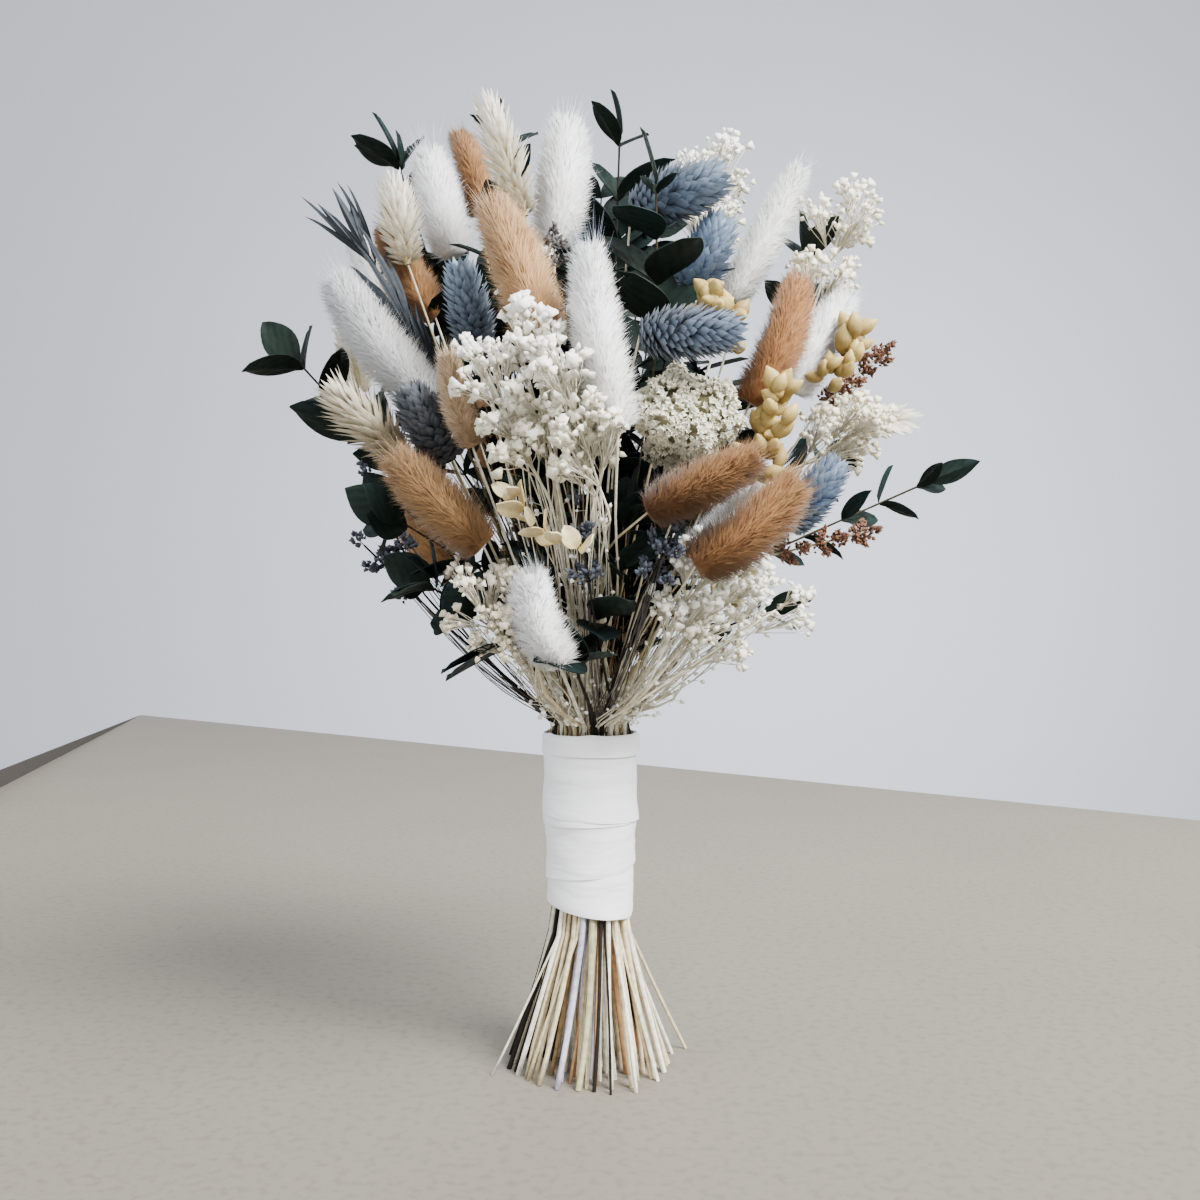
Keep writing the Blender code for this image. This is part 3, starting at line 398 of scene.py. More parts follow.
# Copies of a shape: roots, the way that each runs, its face, and its width, depth and length
def copies(shape, roots, ways, faces, sizes, tints, endTints, lean=None, curl=None, heart=None):
    points, triangles = shapes[shape]
    roots, sizes = np.asarray(roots), np.asarray(sizes)
    ways = unit(ways)
    sides = unit(np.cross(faces, ways))
    faces = np.cross(ways, sides)
    count = len(roots)
    local = points[None] * sizes[:, None, :]
    if curl is not None:
        local[..., 1] -= np.asarray(curl)[:, None] * points[None, :, 2] ** 2 * sizes[:, None, 2]
    placed = (
        local[..., 0:1] * sides[:, None]
        + local[..., 1:2] * faces[:, None]
        + local[..., 2:3] * ways[:, None]
        + roots[:, None]
    )
    index = triangles[None] + (np.arange(count) * len(points))[:, None, None]
    along = np.clip(points[:, 2], 0, 1)
    tints, ends = np.broadcast_to(tints, (count, 3)), np.broadcast_to(endTints, (count, 3))
    tint = tints[:, None] * (1 - along[None, :, None]) + ends[:, None] * along[None, :, None]
    spin = dice.random(count)[:, None]
    grain = np.stack(np.broadcast_arrays(points[None, :, 0] + 0.5 + spin, along[None]), -1)
    if lean is not None:
        lean = np.repeat(lean[:, None], len(points), 1).reshape(-1, 3)
    elif heart is not None:
        # shaded as a soft round body about a point on its axis
        hearts = roots + ways * sizes[:, 2:3] * heart
        lean = unit(placed - hearts[:, None]).reshape(-1, 3)
    return makePart(placed, index.reshape(-1, 3), tint.reshape(-1, 3), grain.reshape(-1, 2), lean)


# A smooth line through a few points
def smoothLine(line, steps):
    line = np.asarray(line, float)
    padded = np.concatenate([[2 * line[0] - line[1]], line, [2 * line[-1] - line[-2]]])
    found = []
    for k in range(len(line) - 1):
        a, b, c, d = padded[k : k + 4]
        for t in np.arange(steps) / steps:
            third, fourth = 2 * a - 5 * b + 4 * c - d, 3 * b - a - 3 * c + d
            found.append(0.5 * (2 * b + (c - a) * t + third * t**2 + fourth * t**3))
    found.append(line[-1])
    return np.array(found)


# A round stem along a line, closed at both ends
def stemPart(line, radii, sides, tint, endTint=None, finish=1):
    line = np.asarray(line, float)
    count = len(line)
    radii = np.broadcast_to(radii, count)
    ways = unit(np.gradient(line, axis=0))
    first, _ = across(ways[0])
    rings = []
    for k in range(count):
        first = unit(first - ways[k] * (first @ ways[k]))
        turn = np.arange(sides) * fullTurn / sides
        rings.append(line[k] + radii[k] * spokes(turn, first, np.cross(ways[k], first)))
    points = np.concatenate(rings)
    points[:, 2] = np.maximum(points[:, 2], 0)
    low = (np.arange(count - 1) * sides)[:, None] + np.arange(sides)
    high = (np.arange(count - 1) * sides)[:, None] + (np.arange(sides) + 1) % sides
    quads = np.stack([low, high, high + sides, low + sides], -1).reshape(-1, 4)
    faces = [quads[:, [0, 1, 2]], quads[:, [0, 2, 3]]]
    fan = np.arange(1, sides - 1)
    last = (count - 1) * sides
    faces.append(np.stack([np.zeros_like(fan), fan + 1, fan], 1))
    faces.append(np.stack([np.full_like(fan, last), last + fan, last + fan + 1], 1))
    steps = np.concatenate([[0], np.cumsum(np.linalg.norm(np.diff(line, axis=0), axis=1))])
    along = np.repeat(steps, sides)
    turn = np.tile(np.arange(sides) / sides, count)
    if np.ndim(tint) == 2:
        tints = np.repeat(tint, sides, axis=0)
    else:
        tints = mix(tint, tint if endTint is None else endTint, along / max(along[-1], 1e-9))
    grain = np.stack([turn + dice.random(), along / (40 * mm)], 1)
    return makePart(points, np.concatenate(faces), tints, grain, finish=finish)


def addObject(name, data):
    made = bpy.data.objects.new(name, data)
    bpy.context.scene.collection.objects.link(made)
    return made


# A piece of the bouquet: one mesh of its parts, with their tints, grain and shading directions
def makePiece(name, parts, finishNames, node):
    def joined(key):
        return np.concatenate([part[key] for part in parts])

    points = joined("points")
    starts = np.cumsum([0] + [len(part["points"]) for part in parts[:-1]])
    faces = np.concatenate([part["faces"] + start for part, start in zip(parts, starts)]).astype(np.int32)
    mesh = bpy.data.meshes.new(name)
    mesh.vertices.add(len(points))
    mesh.vertices.foreach_set("co", points.astype(np.float32).ravel())
    mesh.loops.add(faces.size)
    mesh.loops.foreach_set("vertex_index", faces.ravel())
    mesh.polygons.add(len(faces))
    mesh.polygons.foreach_set("loop_start", np.arange(0, faces.size, 3, dtype=np.int32))
    finish = np.concatenate([np.full(len(part["faces"]), part["finish"]) for part in parts])
    mesh.polygons.foreach_set("material_index", finish.astype(np.int32))
    mesh.update(calc_edges=True)
    mesh.polygons.foreach_set("use_smooth", np.ones(len(faces), bool))
    tint = np.ones((len(points), 4), np.float32)
    tint[:, :3] = joined("tint")
    colours = mesh.color_attributes.new("tint", "FLOAT_COLOR", "POINT")
    colours.data.foreach_set("color", tint.ravel())
    uv = mesh.uv_layers.new(name="grain")
    uv.data.foreach_set("uv", joined("grain")[faces.ravel()].astype(np.float32).ravel())
    lean = joined("lean")
    if np.abs(lean).max() > 0:
        mesh.normals_split_custom_set_from_vertices(lean.tolist())
    else:
        mesh.set_sharp_from_angle(angle=math.radians(50))
    for finishName in finishNames:
        mesh.materials.append(finishFor(finishName))
    made = addObject(name, mesh)
    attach(made, "root")
    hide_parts(node)
    madeOf["faces"] += len(faces)
    madeOf["pieces"] += 1
    return made


# Fills the sockets of a node: what another node puts out is linked, any other value is set
def feed(owner, nodeName, sockets):
    inputs = owner.node_tree.nodes[nodeName].inputs
    for name, value in sockets.items():
        if isinstance(value, bpy.types.NodeSocket):
            owner.node_tree.links.new(value, inputs[name])
        else:
            inputs[name].default_value = value


# A material, with a function that adds a node to it and gives one of the node's outputs
def newFinish(name):
    made = bpy.data.materials.new(name)
    made.use_nodes = True

    def add(kind, output, sockets, **settings):
        node = made.node_tree.nodes.new("ShaderNode" + kind)
        for setting, value in settings.items():
            setattr(node, setting, value)
        feed(made, node.name, sockets)
        return node.outputs[output]

    return made, add


# Finishes: tint from the piece, broken up by a grain that runs with the petal, leaf or stem
finishes = {
    "fluff": {"rough": 0.95, "spread": 0.14, "scale": (9, 2), "bump": 0.0, "sheen": 0.35},
    "dyedFluff": {"rough": 0.95, "spread": 0.14, "scale": (9, 2), "bump": 0.0, "sheen": 0.16},
    "bracts": {"rough": 0.72, "spread": 0.3, "scale": (16, 2.5), "bump": 0.35, "sheen": 0.15},
    "leaf": {"rough": 0.6, "spread": 0.35, "scale": (5, 3), "bump": 0.18, "veins": 26, "gloss": 0.1},
    "blade": {"rough": 0.65, "spread": 0.4, "scale": (22, 1.2), "bump": 0.4, "gloss": 0.2},
    "petals": {"rough": 0.85, "spread": 0.12, "scale": (4, 4), "bump": 0.2, "sheen": 0.1},
    "pods": {"rough": 0.55, "spread": 0.3, "scale": (14, 1.5), "bump": 0.3},
    "grain": {"rough": 0.75, "spread": 0.4, "scale": (6, 6), "bump": 0.3},
    "stem": {"rough": 0.75, "spread": 0.5, "scale": (7, 1.1), "bump": 0.45, "gloss": 0.15},
    "satin": {
        "rough": 0.5, "spread": 0.03, "scale": (160, 900), "bump": 0.12, "sheen": 0.3, "gloss": 0.5,
        "folds": (6, 1.3),
    },
    "fibre": {"rough": 0.9, "spread": 0.4, "scale": (10, 30), "bump": 0.5},
}


def finishFor(name):
    found = bpy.data.materials.get(name)
    if found:
        return found
    look = finishes[name]
    made, add = newFinish(name)
    tint = add("Attribute", "Color", {}, attribute_name="tint")
    uv = add("UVMap", "UV", {}, uv_map="grain")
    stretched = add("Mapping", "Vector", {"Vector": uv, "Scale": (*look["scale"], 1)})
    streaks = add("TexNoise", "Fac", {"Vector": stretched, "Scale": 1, "Detail": 3})
    body = add("TexCoord", "Object", {})
    spots = add("TexNoise", "Fac", {"Vector": body, "Scale": 420, "Detail": 2})
    height = add("Math", "Value", {0: streaks, 1: spots}, operation="ADD")
    if "veins" in look:
        bands = {"Vector": uv, "Scale": look["veins"] / 10, "Distortion": 1.2}
        veins = add("TexWave", "Fac", bands, wave_type="BANDS", bands_direction="DIAGONAL")
        height = add("Math", "Value", {0: veins, 1: 0.35, 2: height}, operation="MULTIPLY_ADD")
    shades = {"To Min": 1 - look["spread"], "To Max": 1 + look["spread"] * 0.6}
    shade = add("MapRange", "Result", {"Value": height, "From Min": 0.65, "From Max": 1.35, **shades})
    shaded = add("VectorMath", "Vector", {0: tint, "Scale": shade}, operation="SCALE")
    roughs = {"To Min": look["rough"] + 0.08, "To Max": look["rough"] - 0.08}
    rough = add("MapRange", "Result", {"Value": height, "From Min": 0.7, "From Max": 1.3, **roughs})
    sockets = {"Base Color": shaded, "Roughness": rough, "Sheen Weight": look.get("sheen", 0.0)}
    sockets["Specular IOR Level"] = look.get("gloss", 0.35)
    if look["bump"]:
        press = {"Height": height, "Strength": look["bump"], "Distance": 0.25 * mm}
        if "folds" in look:
            slant = {"Vector": uv, "Scale": (*look["folds"], 1), "Rotation": (0, 0, 0.12)}
            slanting = add("Mapping", "Vector", slant)
            folds = add("TexNoise", "Fac", {"Vector": slanting, "Scale": 1, "Detail": 2.5, "Distortion": 0.5})
            press["Normal"] = add("Bump", "Normal", {"Height": folds, "Strength": 0.6, "Distance": 1.6 * mm})
        sockets["Normal"] = add("Bump", "Normal", press)
    feed(made, "Principled BSDF", sockets)
    return made


# Stems of a flower, as round tubes that swell at their joints
stemTints = {
    "straw": (0.66, 0.55, 0.35), "cream": (0.82, 0.77, 0.60), "pale": (0.86, 0.83, 0.71),
    "dark": (0.012, 0.009, 0.007), "lilac": (0.58, 0.56, 0.68), "tan": (0.50, 0.28, 0.14),
    "green": (0.42, 0.40, 0.24), "twig": (0.055, 0.045, 0.026), "brown": (0.40, 0.27, 0.13),
}
tieRadius = 12.6 * mm
# what the cut ends seen in front are dyed or browned to
footTints = {
    "leafy_branch_2": "dark", "leafy_branch_3": "dark", "leafy_branch_7": "dark", "leafy_branch_9": "green",
    "back_leafy_branch_1": "dark", "blue_bud_sprig_1": "dark", "blue_bud_sprig_2": "dark",
    "grey_blade_leaves": "dark", "white_tail_6": "lilac", "beige_pods_1": "lilac", "blue_head_3": "lilac",
    "tan_tail_5": "tan", "tan_tail_4": "tan", "tan_tail_2": "straw", "white_tail_7": "straw",
    "blue_head_5": "straw",
}
# how thick a stem is near its head, in the tie and as a twig, and how far the dye of its foot runs up
stemLook = {
    "thin": 0.36 * mm, "tied": 0.85 * mm, "twig": 0.6 * mm, "dyed": 40 * mm, "jointsApart": 43, "swell": 0.22,
}


def stemTint(node):
    words = ["straw", "cream", "cream", "pale", "cream", "pale", "green"]
    if "leafy" in node or "blade" in node or "bud" in node:
        words = ["dark", "dark", "twig"]
    return np.array(stemTints[words[dice.integers(len(words))]]) * dice.uniform(0.88, 1.08)


def insideTie(point):
    away = np.hypot(point[0], point[1])
    return point * np.array([1, 1, 0]) * min(1, tieRadius / max(away, 1e-6)) + point * [0, 0, 1]


# Inside the ribbon a stem runs nearly upright, below it straight out to its foot
def splay(high, low, foot):
    inside = mix(high, low, np.array([0.3, 0.6, 0.9]))
    below = mix(low, foot, np.linspace(0.1, 1, 6))
    bow = np.sin(np.linspace(0, math.pi, 6))[:, None] * dice.normal(0, 0.5, 3) * mm * [1, 1, 0]
    return np.concatenate([inside, below + bow])


def stemParts(flower):
    parts = []
    look, node, stems = stemLook, flower["node"], flower["stems"]
    foot, low, high = flower["base"]
    twiggy = flower["kind"] not in ("tail", "ear", "dome")
    second = stems[:1] if twiggy or dice.random() < 0.5 else []
    for k, line in enumerate(stems + second):
        tint = stemTint(node)
        usual = ("cream", "pale", "straw", "straw", "brown")[dice.integers(5)]
        end = stemTints[footTints.get(node, usual)]
        waist = flower["waist"] * (dice.uniform(0.58, 0.82) if k == 0 else dice.uniform(0.34, 0.56))
        nudge = sideways(1.3)
        join = insideTie(high + nudge)
        if k == 0:
            whole = np.concatenate([smoothLine(np.concatenate([line, [high]]), 3), splay(high, low, foot)])
        elif k == len(stems):
            # a thinner stem of the same plant runs beside it and ends elsewhere on the table
            swing = sideways(6.0) * [1, 0.6, 0]
            swing = swing * min(1, 9 * mm / np.linalg.norm(swing))
            below = splay(join, insideTie(low + nudge), foot + swing)
            whole = np.concatenate([smoothLine([line[-1], join], 6), below])
        else:
            whole = smoothLine(np.concatenate([line, [join, lower(join, 9)]]), 3)
        height = whole[:, 2]
        thickness = [waist, min(waist, look["tied"]), look["thin"]]
        radii = np.interp((height - high[2]) / mm, [-34, -4, 30], thickness)
        joint = (height / mm + 7 * k + dice.uniform(0, 40)) % look["jointsApart"] - 20
        radii = radii * (1 + look["swell"] * np.exp(-((joint / 1.8) ** 2)) + dice.normal(0, 0.03, len(radii)))
        if twiggy:
            radii = np.where(height > high[2] + 8 * mm, np.minimum(radii, look["twig"]), radii)
        dyed = np.clip((high[2] - height) / look["dyed"], 0, 1)
        tints = mix(tint, np.array(end) * dice.uniform(0.9, 1.06), dyed)
        parts.append(stemPart(whole, radii, 8 if k == 0 else 6, tints))
    return parts


# Fluffy grass tails: a felted core, short dense hair in tufts, loose fuzz, and long awns at the tip
tailLook = {
    "tan": {
        "root": (0.30, 0.155, 0.064), "end": (0.585, 0.36, 0.168), "core": (0.32, 0.17, 0.07),
        "pit": (0.15, 0.048, 0.014), "foot": (0.29, 0.145, 0.055), "awn": (0.63, 0.41, 0.20), "awns": 90,
    },
    "white": {
        "root": (0.82, 0.81, 0.79), "end": (0.96, 0.96, 0.97), "core": (0.82, 0.81, 0.79),
        "pit": (0.74, 0.71, 0.62), "foot": (0.80, 0.78, 0.66), "awn": (0.80, 0.82, 0.86), "awns": 120,
    },
    "fuller": 1.1, "hairs": 3850, "fuzz": 750, "tufts": 75,
    "hairThick": 0.17 * mm, "fuzzThick": 0.085 * mm, "awnThick": 0.075 * mm, "longAwnThick": 0.1 * mm,
    # tails whose tip carries long grey awns
    "awned": {"white_tail_5": (0.16, 0.20, 0.27), "white_tail_3": (0.45, 0.48, 0.54)},
    # how each tail's colour is scaled: some take a tone of their own, white_tail_2, tan_tail_5 and tan_tail_6
    # are darkened as painted shade; and the tails whose darker foot runs over more of their length
    "shaded": {"tan_tail_4": 1.5, "tan_tail_5": 1.3, "tan_tail_6": 1.3, "white_tail_2": 1.1},
    "shadeFoot": {"white_tail_2": (0.34, 0.32, 0.24)},
    "dyed": {
        "tan_tail_2": (1.1, 1.35, 1.8), "tan_tail_3": (0.72, 0.70, 0.66), "tan_tail_4": (0.64, 0.50, 0.38),
        "tan_tail_5": (0.37, 0.30, 0.22), "tan_tail_6": (0.48, 0.40, 0.30),
        "tan_tail_pair": (0.62, 0.54, 0.46), "back_tan_tails": (0.78, 0.72, 0.66),
        "white_tail_1": (0.84, 0.84, 0.80), "white_tail_2": (0.60, 0.605, 0.62),
    },
}


# Where a tail is thickest, as a share of its length
tailWaist = 0.42


def tailProfile(t):
    return np.sqrt(np.clip(1 - (np.abs(t - tailWaist) / 0.6) ** 2.3, 0, 1))


def tailParts(foot, tip, radius, colour, node):
    look = tailLook[colour]
    # the tail's colour scale; on the tails that stand in shade it is painted shade
    colourScale = np.array(tailLook["dyed"].get(node, (1, 1, 1)))
    radius = radius * tailLook["fuller"]
    axis = tip - foot
    length = np.linalg.norm(axis)
    way = axis / length
    u, v = across(way)
    bow = (u * dice.normal() + v * dice.normal()) * 1.1 * mm

    def onAxis(t):
        return foot + np.outer(t, axis) + np.outer(np.sin(math.pi * np.clip(t, 0, 1)), bow)

    stations = np.linspace(0.0, 0.97, 14)
    core = np.maximum(tailProfile(stations) * radius * 0.68, 0.4 * mm)
    parts = [stemPart(onAxis(stations), core, 10, colourScale * look["core"], finish=0)]

    def hairs(t, turn, lean, reach, thick, ragged):
        count = len(t)
        out = spokes(turn, u, v)
        roots = onAxis(t) + out * (tailProfile(t) * radius * 0.64)[:, None]
        ways = leaning(way, out, lean)
        # hairs gather into tufts
        tufts = dice.random((tailLook["tufts"], 2)) * [fullTurn, 1]
        gap = np.abs(turn[:, None] - tufts[:, 0])
        gap = np.minimum(gap, fullTurn - gap) * radius
        mine = np.hypot(gap, (t[:, None] - tufts[:, 1]) * length).argmin(1)
        hearts = spokes(tufts[:, 0], u, v) * (tailProfile(tufts[:, 1]) * radius)[:, None]
        peak = onAxis(tufts[:, 1]) + hearts + way * radius * 0.6
        ways = unit(ways + 0.16 * unit(peak[mine] - roots) + dice.normal(0, ragged, (count, 3)))
        shade = 1 + dice.normal(0, 0.07, tailLook["tufts"])[mine] + dice.normal(0, 0.05, count)
        pitted = (dice.random(tailLook["tufts"]) < 0.1)[mine] * dice.uniform(0.3, 0.9, count)
        normals = leaning(out, way, (t - tailWaist) * 1.8)
        normals = unit(normals + 0.45 * ways + dice.normal(0, 0.16, (count, 3)))
        # towards its foot a tail's hairs take its foot colour: painted shade on the tan tails, a yellowish
        # tone of their own on the white ones
        nearFoot = np.clip(0.8 - t * tailLook["shaded"].get(node, 2.4), 0, 0.7)[:, None]
        tints = mix(look["root"], look["pit"], pitted) * shade[:, None]
        ends = mix(look["end"], look["pit"], pitted * 0.6) * shade[:, None]
        ends = ends * (1 - nearFoot) + np.array(tailLook["shadeFoot"].get(node, look["foot"])) * nearFoot
        sizes = np.stack([thick, thick, reach], 1)
        return copies("hair", roots, ways, out, sizes, tints * colourScale, ends * colourScale, normals)

    bulk = length * radius / (45 * mm * 9 * mm)
    count = int(tailLook["hairs"] * bulk**0.6 * (0.76 if node.startswith("back_") else 1))
    t = dice.random(count) ** 0.95 * 0.95
    turn = dice.uniform(0, fullTurn, count)
    lean = 1.25 - 0.72 * t + dice.normal(0, 0.2, count)
    reach = radius * (0.5 + 0.2 * dice.random(count)) * (0.6 + 0.4 * tailProfile(t))
    thick = tailLook["hairThick"] * (0.8 + 0.5 * dice.random(count))
    parts.append(hairs(t, turn, lean, reach, thick, 0.2))
    count = tailLook["fuzz"]
    t = dice.random(count) * 0.97
    turn = dice.uniform(0, fullTurn, count)
    lean = 1.3 - 0.9 * t + dice.normal(0, 0.2, count)
    reach = radius * dice.uniform(0.75, 0.98, count) * (0.6 + 0.4 * tailProfile(t))
    parts.append(hairs(t, turn, lean, reach, np.full(count, tailLook["fuzzThick"]), 0.16))
    # awns stand clear of the fluff, most of them near the tip
    count = look["awns"]
    t = 0.45 + 0.52 * dice.random(count) ** 0.7
    turn = dice.uniform(0, fullTurn, count)
    out = spokes(turn, u, v)
    roots = onAxis(t) + out * (tailProfile(t) * radius * 0.5)[:, None]
    ways = leaning(way, out, 0.62 - 0.42 * t + dice.normal(0, 0.13, count))
    awned = node in tailLook["awned"]
    reach = radius * dice.uniform(1.0, 1.5, count) * np.where(awned & (t > 0.8), 1.45, 1)
    thick = np.full(count, tailLook["longAwnThick" if awned else "awnThick"])
    ends = colourScale * tailLook["awned"].get(node, look["awn"]) * dice.uniform(0.85, 1.15, count)[:, None]
    sizes = np.stack([thick, thick, reach], 1)
    parts.append(copies("hair", roots, ways, out, sizes, ends, ends, curl=dice.uniform(-0.1, 0.16, count)))
    return parts


# Heads of dry overlapping bracts: plump scales at the foot, feathery ones at the tip
headLook = {
    "blue": {
        "root": (0.015, 0.022, 0.034), "mid": (0.095, 0.135, 0.195), "end": (0.32, 0.41, 0.53),
        "lean": 1.25, "fuller": 1.12, "bracts": 264, "width": 0.46, "body": 0.56, "reach": 0.62,
        "fill": 0.86, "longest": 0.74,
    },
    "ivory": {
        "root": (0.42, 0.33, 0.17), "mid": (0.80, 0.74, 0.58), "end": (0.92, 0.89, 0.80),
        "lean": 1.15, "fuller": 1.15, "bracts": 190, "width": 0.3, "body": 0.34, "reach": 0.8,
        "fill": 0.86, "longest": 1.2,
    },
    "slender": 5.5 * mm,
    # how much each head's colour is scaled, lighter or darker
    "dyed": {
        "blue_head_2": (1.3, 1.35, 1.4), "blue_head_3": (0.72, 0.72, 0.74), "blue_head_5": (0.44, 0.38, 0.34),
        "blue_head_6": (1.35, 1.4, 1.45), "ivory_head_2": (0.72, 0.69, 0.64),
    },
}


def headParts(foot, tip, radius, colour, node):
    look = headLook[colour]
    colourScale = np.array(headLook["dyed"].get(node, (1, 1, 1)))
    flat = radius < headLook["slender"]
    radius = radius * look["fuller"] * (1.3 if flat else 1)
    axis = tip - foot
    length = np.linalg.norm(axis)
    way = axis / length
    u, v = across(way, dice.uniform(0, math.pi))
    count = 46 if flat else look["bracts"]
    order = np.arange(count)
    t = 0.02 + look["fill"] * (order / count)
    # flat ears set their bracts left and right, round heads in the spiral of a cone
    out = spokes(order * math.radians(180 if flat else 137.5) + dice.normal(0, 0.1, count), u, v)
    wide = np.sin(math.pi * np.clip(0.17 + 0.7 * t, 0, 1)) ** 0.7
    body = np.sqrt(np.clip(1 - (np.abs(t - 0.45) / 0.5) ** 2.2, 0.02, 1)) * radius * look["body"]
    roots = foot + np.outer(t, axis) + out * (body * (0.3 if flat else 1))[:, None]
    lean = look["lean"] - (look["lean"] - 0.2) * t**0.85 + dice.normal(0, 0.09, count)
    ways = leaning(way, out, lean)
    reach = radius * wide * look["reach"] / np.maximum(np.sin(lean), 0.3)
    reach = np.minimum(reach, radius * look["longest"]) * dice.uniform(0.9, 1.08, count)
    width = radius * look["width"] * (1 - 0.42 * t) * (1.5 if flat else 1)
    tipped = np.clip(t * 1.15 + dice.normal(0, 0.1, count), 0, 1)
    ends = mix(look["mid"], look["end"], tipped) * (1 + dice.normal(0, 0.07, count))[:, None]
    tints = mix(look["root"], look["mid"], t * 0.8)
    stations = np.linspace(0, 0.9, 6)
    girth = np.array([0.4, 0.8, 0.95, 0.85, 0.6, 0.2]) * radius * look["body"] * (0.3 if flat else 1)
    core = stemPart(foot + np.outer(stations, axis), girth, 8, colourScale * look["root"], finish=0)
    faces = np.cross(way, out) if flat else out - way
    sizes = np.stack([width, width * 0.9, reach], 1)
    return [core, copies("bract", roots, ways, faces, sizes, tints * colourScale, ends * colourScale)]


# Domes of small packed florets, crumbly; a dark core and the crumbs' dark hearts paint shade into the gaps
# between the clumps
domeLook = {
    "floret": (0.88, 0.85, 0.70), "deep": (0.15, 0.13, 0.065), "florets": 1850, "clumps": 22, "across": 2.25,
    "broader": (1.16, 1, 1),
}


def domeParts(flower):
    look = domeLook
    points, faces = flower["dome"]
    used = np.unique(faces)
    middle = points[used].mean(0)
    points = middle + (points - middle) * look["broader"]
    way = unit(middle - flower["stems"][0][0])
    a, b, c = points[faces[:, 0]], points[faces[:, 1]], points[faces[:, 2]]
    area = np.linalg.norm(np.cross(b - a, c - a), axis=1)
    count = look["florets"] * (3 if flower["node"].startswith("back_") else 5) // 5
    which = dice.choice(len(faces), count, p=area / area.sum())
    s, t = dice.random(count), dice.random(count)
    over = s + t > 1
    s[over], t[over] = 1 - s[over], 1 - t[over]
    places = a[which] + (b - a)[which] * s[:, None] + (c - a)[which] * t[:, None]
    flat = unit(np.cross(b - a, c - a))[which]
    outward = unit(places - middle + way * 3 * mm)
    # each clump stands a little higher or lower than the next
    hearts = places[: look["clumps"]]
    apart = np.linalg.norm(places[:, None] - hearts[None], axis=2)
    mine = apart.argmin(1)
    near = apart.min(1)
    rise = dice.normal(0, 0.7, look["clumps"])[mine] + dice.normal(0, 0.5, count)
    rise = (rise + 3.2 - near / mm * 0.68) * mm
    apartWays = unit(places - hearts[mine] + 1e-6)
    ways = unit(flat * 0.4 + outward * 0.7 + apartWays * 0.45 + dice.normal(0, 0.3, (count, 3)))
    # painted shade: the florets under the dome are a quarter darker; all vary a little in tone
    under = (places - middle) @ way < -5 * mm
    shade = np.where(under, 0.75, 1.0)[:, None] * (1 + dice.normal(0, 0.07, count))[:, None]
    wide = look["across"] * mm * dice.uniform(0.75, 1.2, count)
    roots = places + outward * rise[:, None] - ways * (wide * 0.7)[:, None]
    # painted shade: a dark inner body shows in the gaps between the clumps
    inner = middle + (points[used] - middle) * 0.84
    core = makePart(inner, np.searchsorted(used, faces), look["deep"], (0.5, 0.5))
    tints, ends = np.array(look["deep"]) * shade, np.array(look["floret"]) * shade
    turned = across(ways, dice.uniform(0, 6.28, count))[0]
    return [core, copies("crumb", roots, ways, turned, np.stack([wide, wide, wide], 1), tints, ends)]


# Leaves: each CAD leaf gives the root, tip and width of one, and inner twigs fill the bouquet's heart
leafLook = {
    "dark": (0.006, 0.011, 0.008), "light": (0.011, 0.021, 0.015), "bluish": (0.009, 0.019, 0.020),
    "bladeRoot": (0.018, 0.022, 0.026), "bladeEnd": (0.044, 0.052, 0.062),
    "wider": 1.75, "longer": 1.14, "innerTwigs": 5, "innerLeaves": 9, "innerStems": 20,
    "doubled": {"grey_blade_leaves": 3, "leafy_branch_9": 2, "leafy_branch_3": 2, "leafy_branch_1": 2},
    "broad": {
        "leafy_branch_6": 2.6, "leafy_branch_3": 2.1, "leafy_branch_9": 2.1, "leafy_branch_8": 1.25,
        "leafy_branch_5": 1.45, "leafy_branch_4": 1.3, "leafy_branch_1": 1.5,
    },
    # young narrow leaves near the top of a branch, and the smallest of them
    "small": {"leafy_branch_6": (3, 7, 8)},
    "young": {"leafy_branch_6": (3, 4, 7, 8), "leafy_branch_5": (1, 3, 4), "leafy_branch_4": (3, 6)},
    # where short twigs end in mm, deep among the heads, so that the wall doesn't show between them
    "fillers": {
        "leafy_branch_4": [(-54, 8, 291), (-41, 6, 283), (-60, 4, 268), (-69, 0, 260), (-15, 12, 288)],
        "leafy_branch_5": [(4, 4, 312), (12, 0, 292), (21, 2, 298), (20, -8, 254)],
    },
    "fillerLeaves": 8,
}


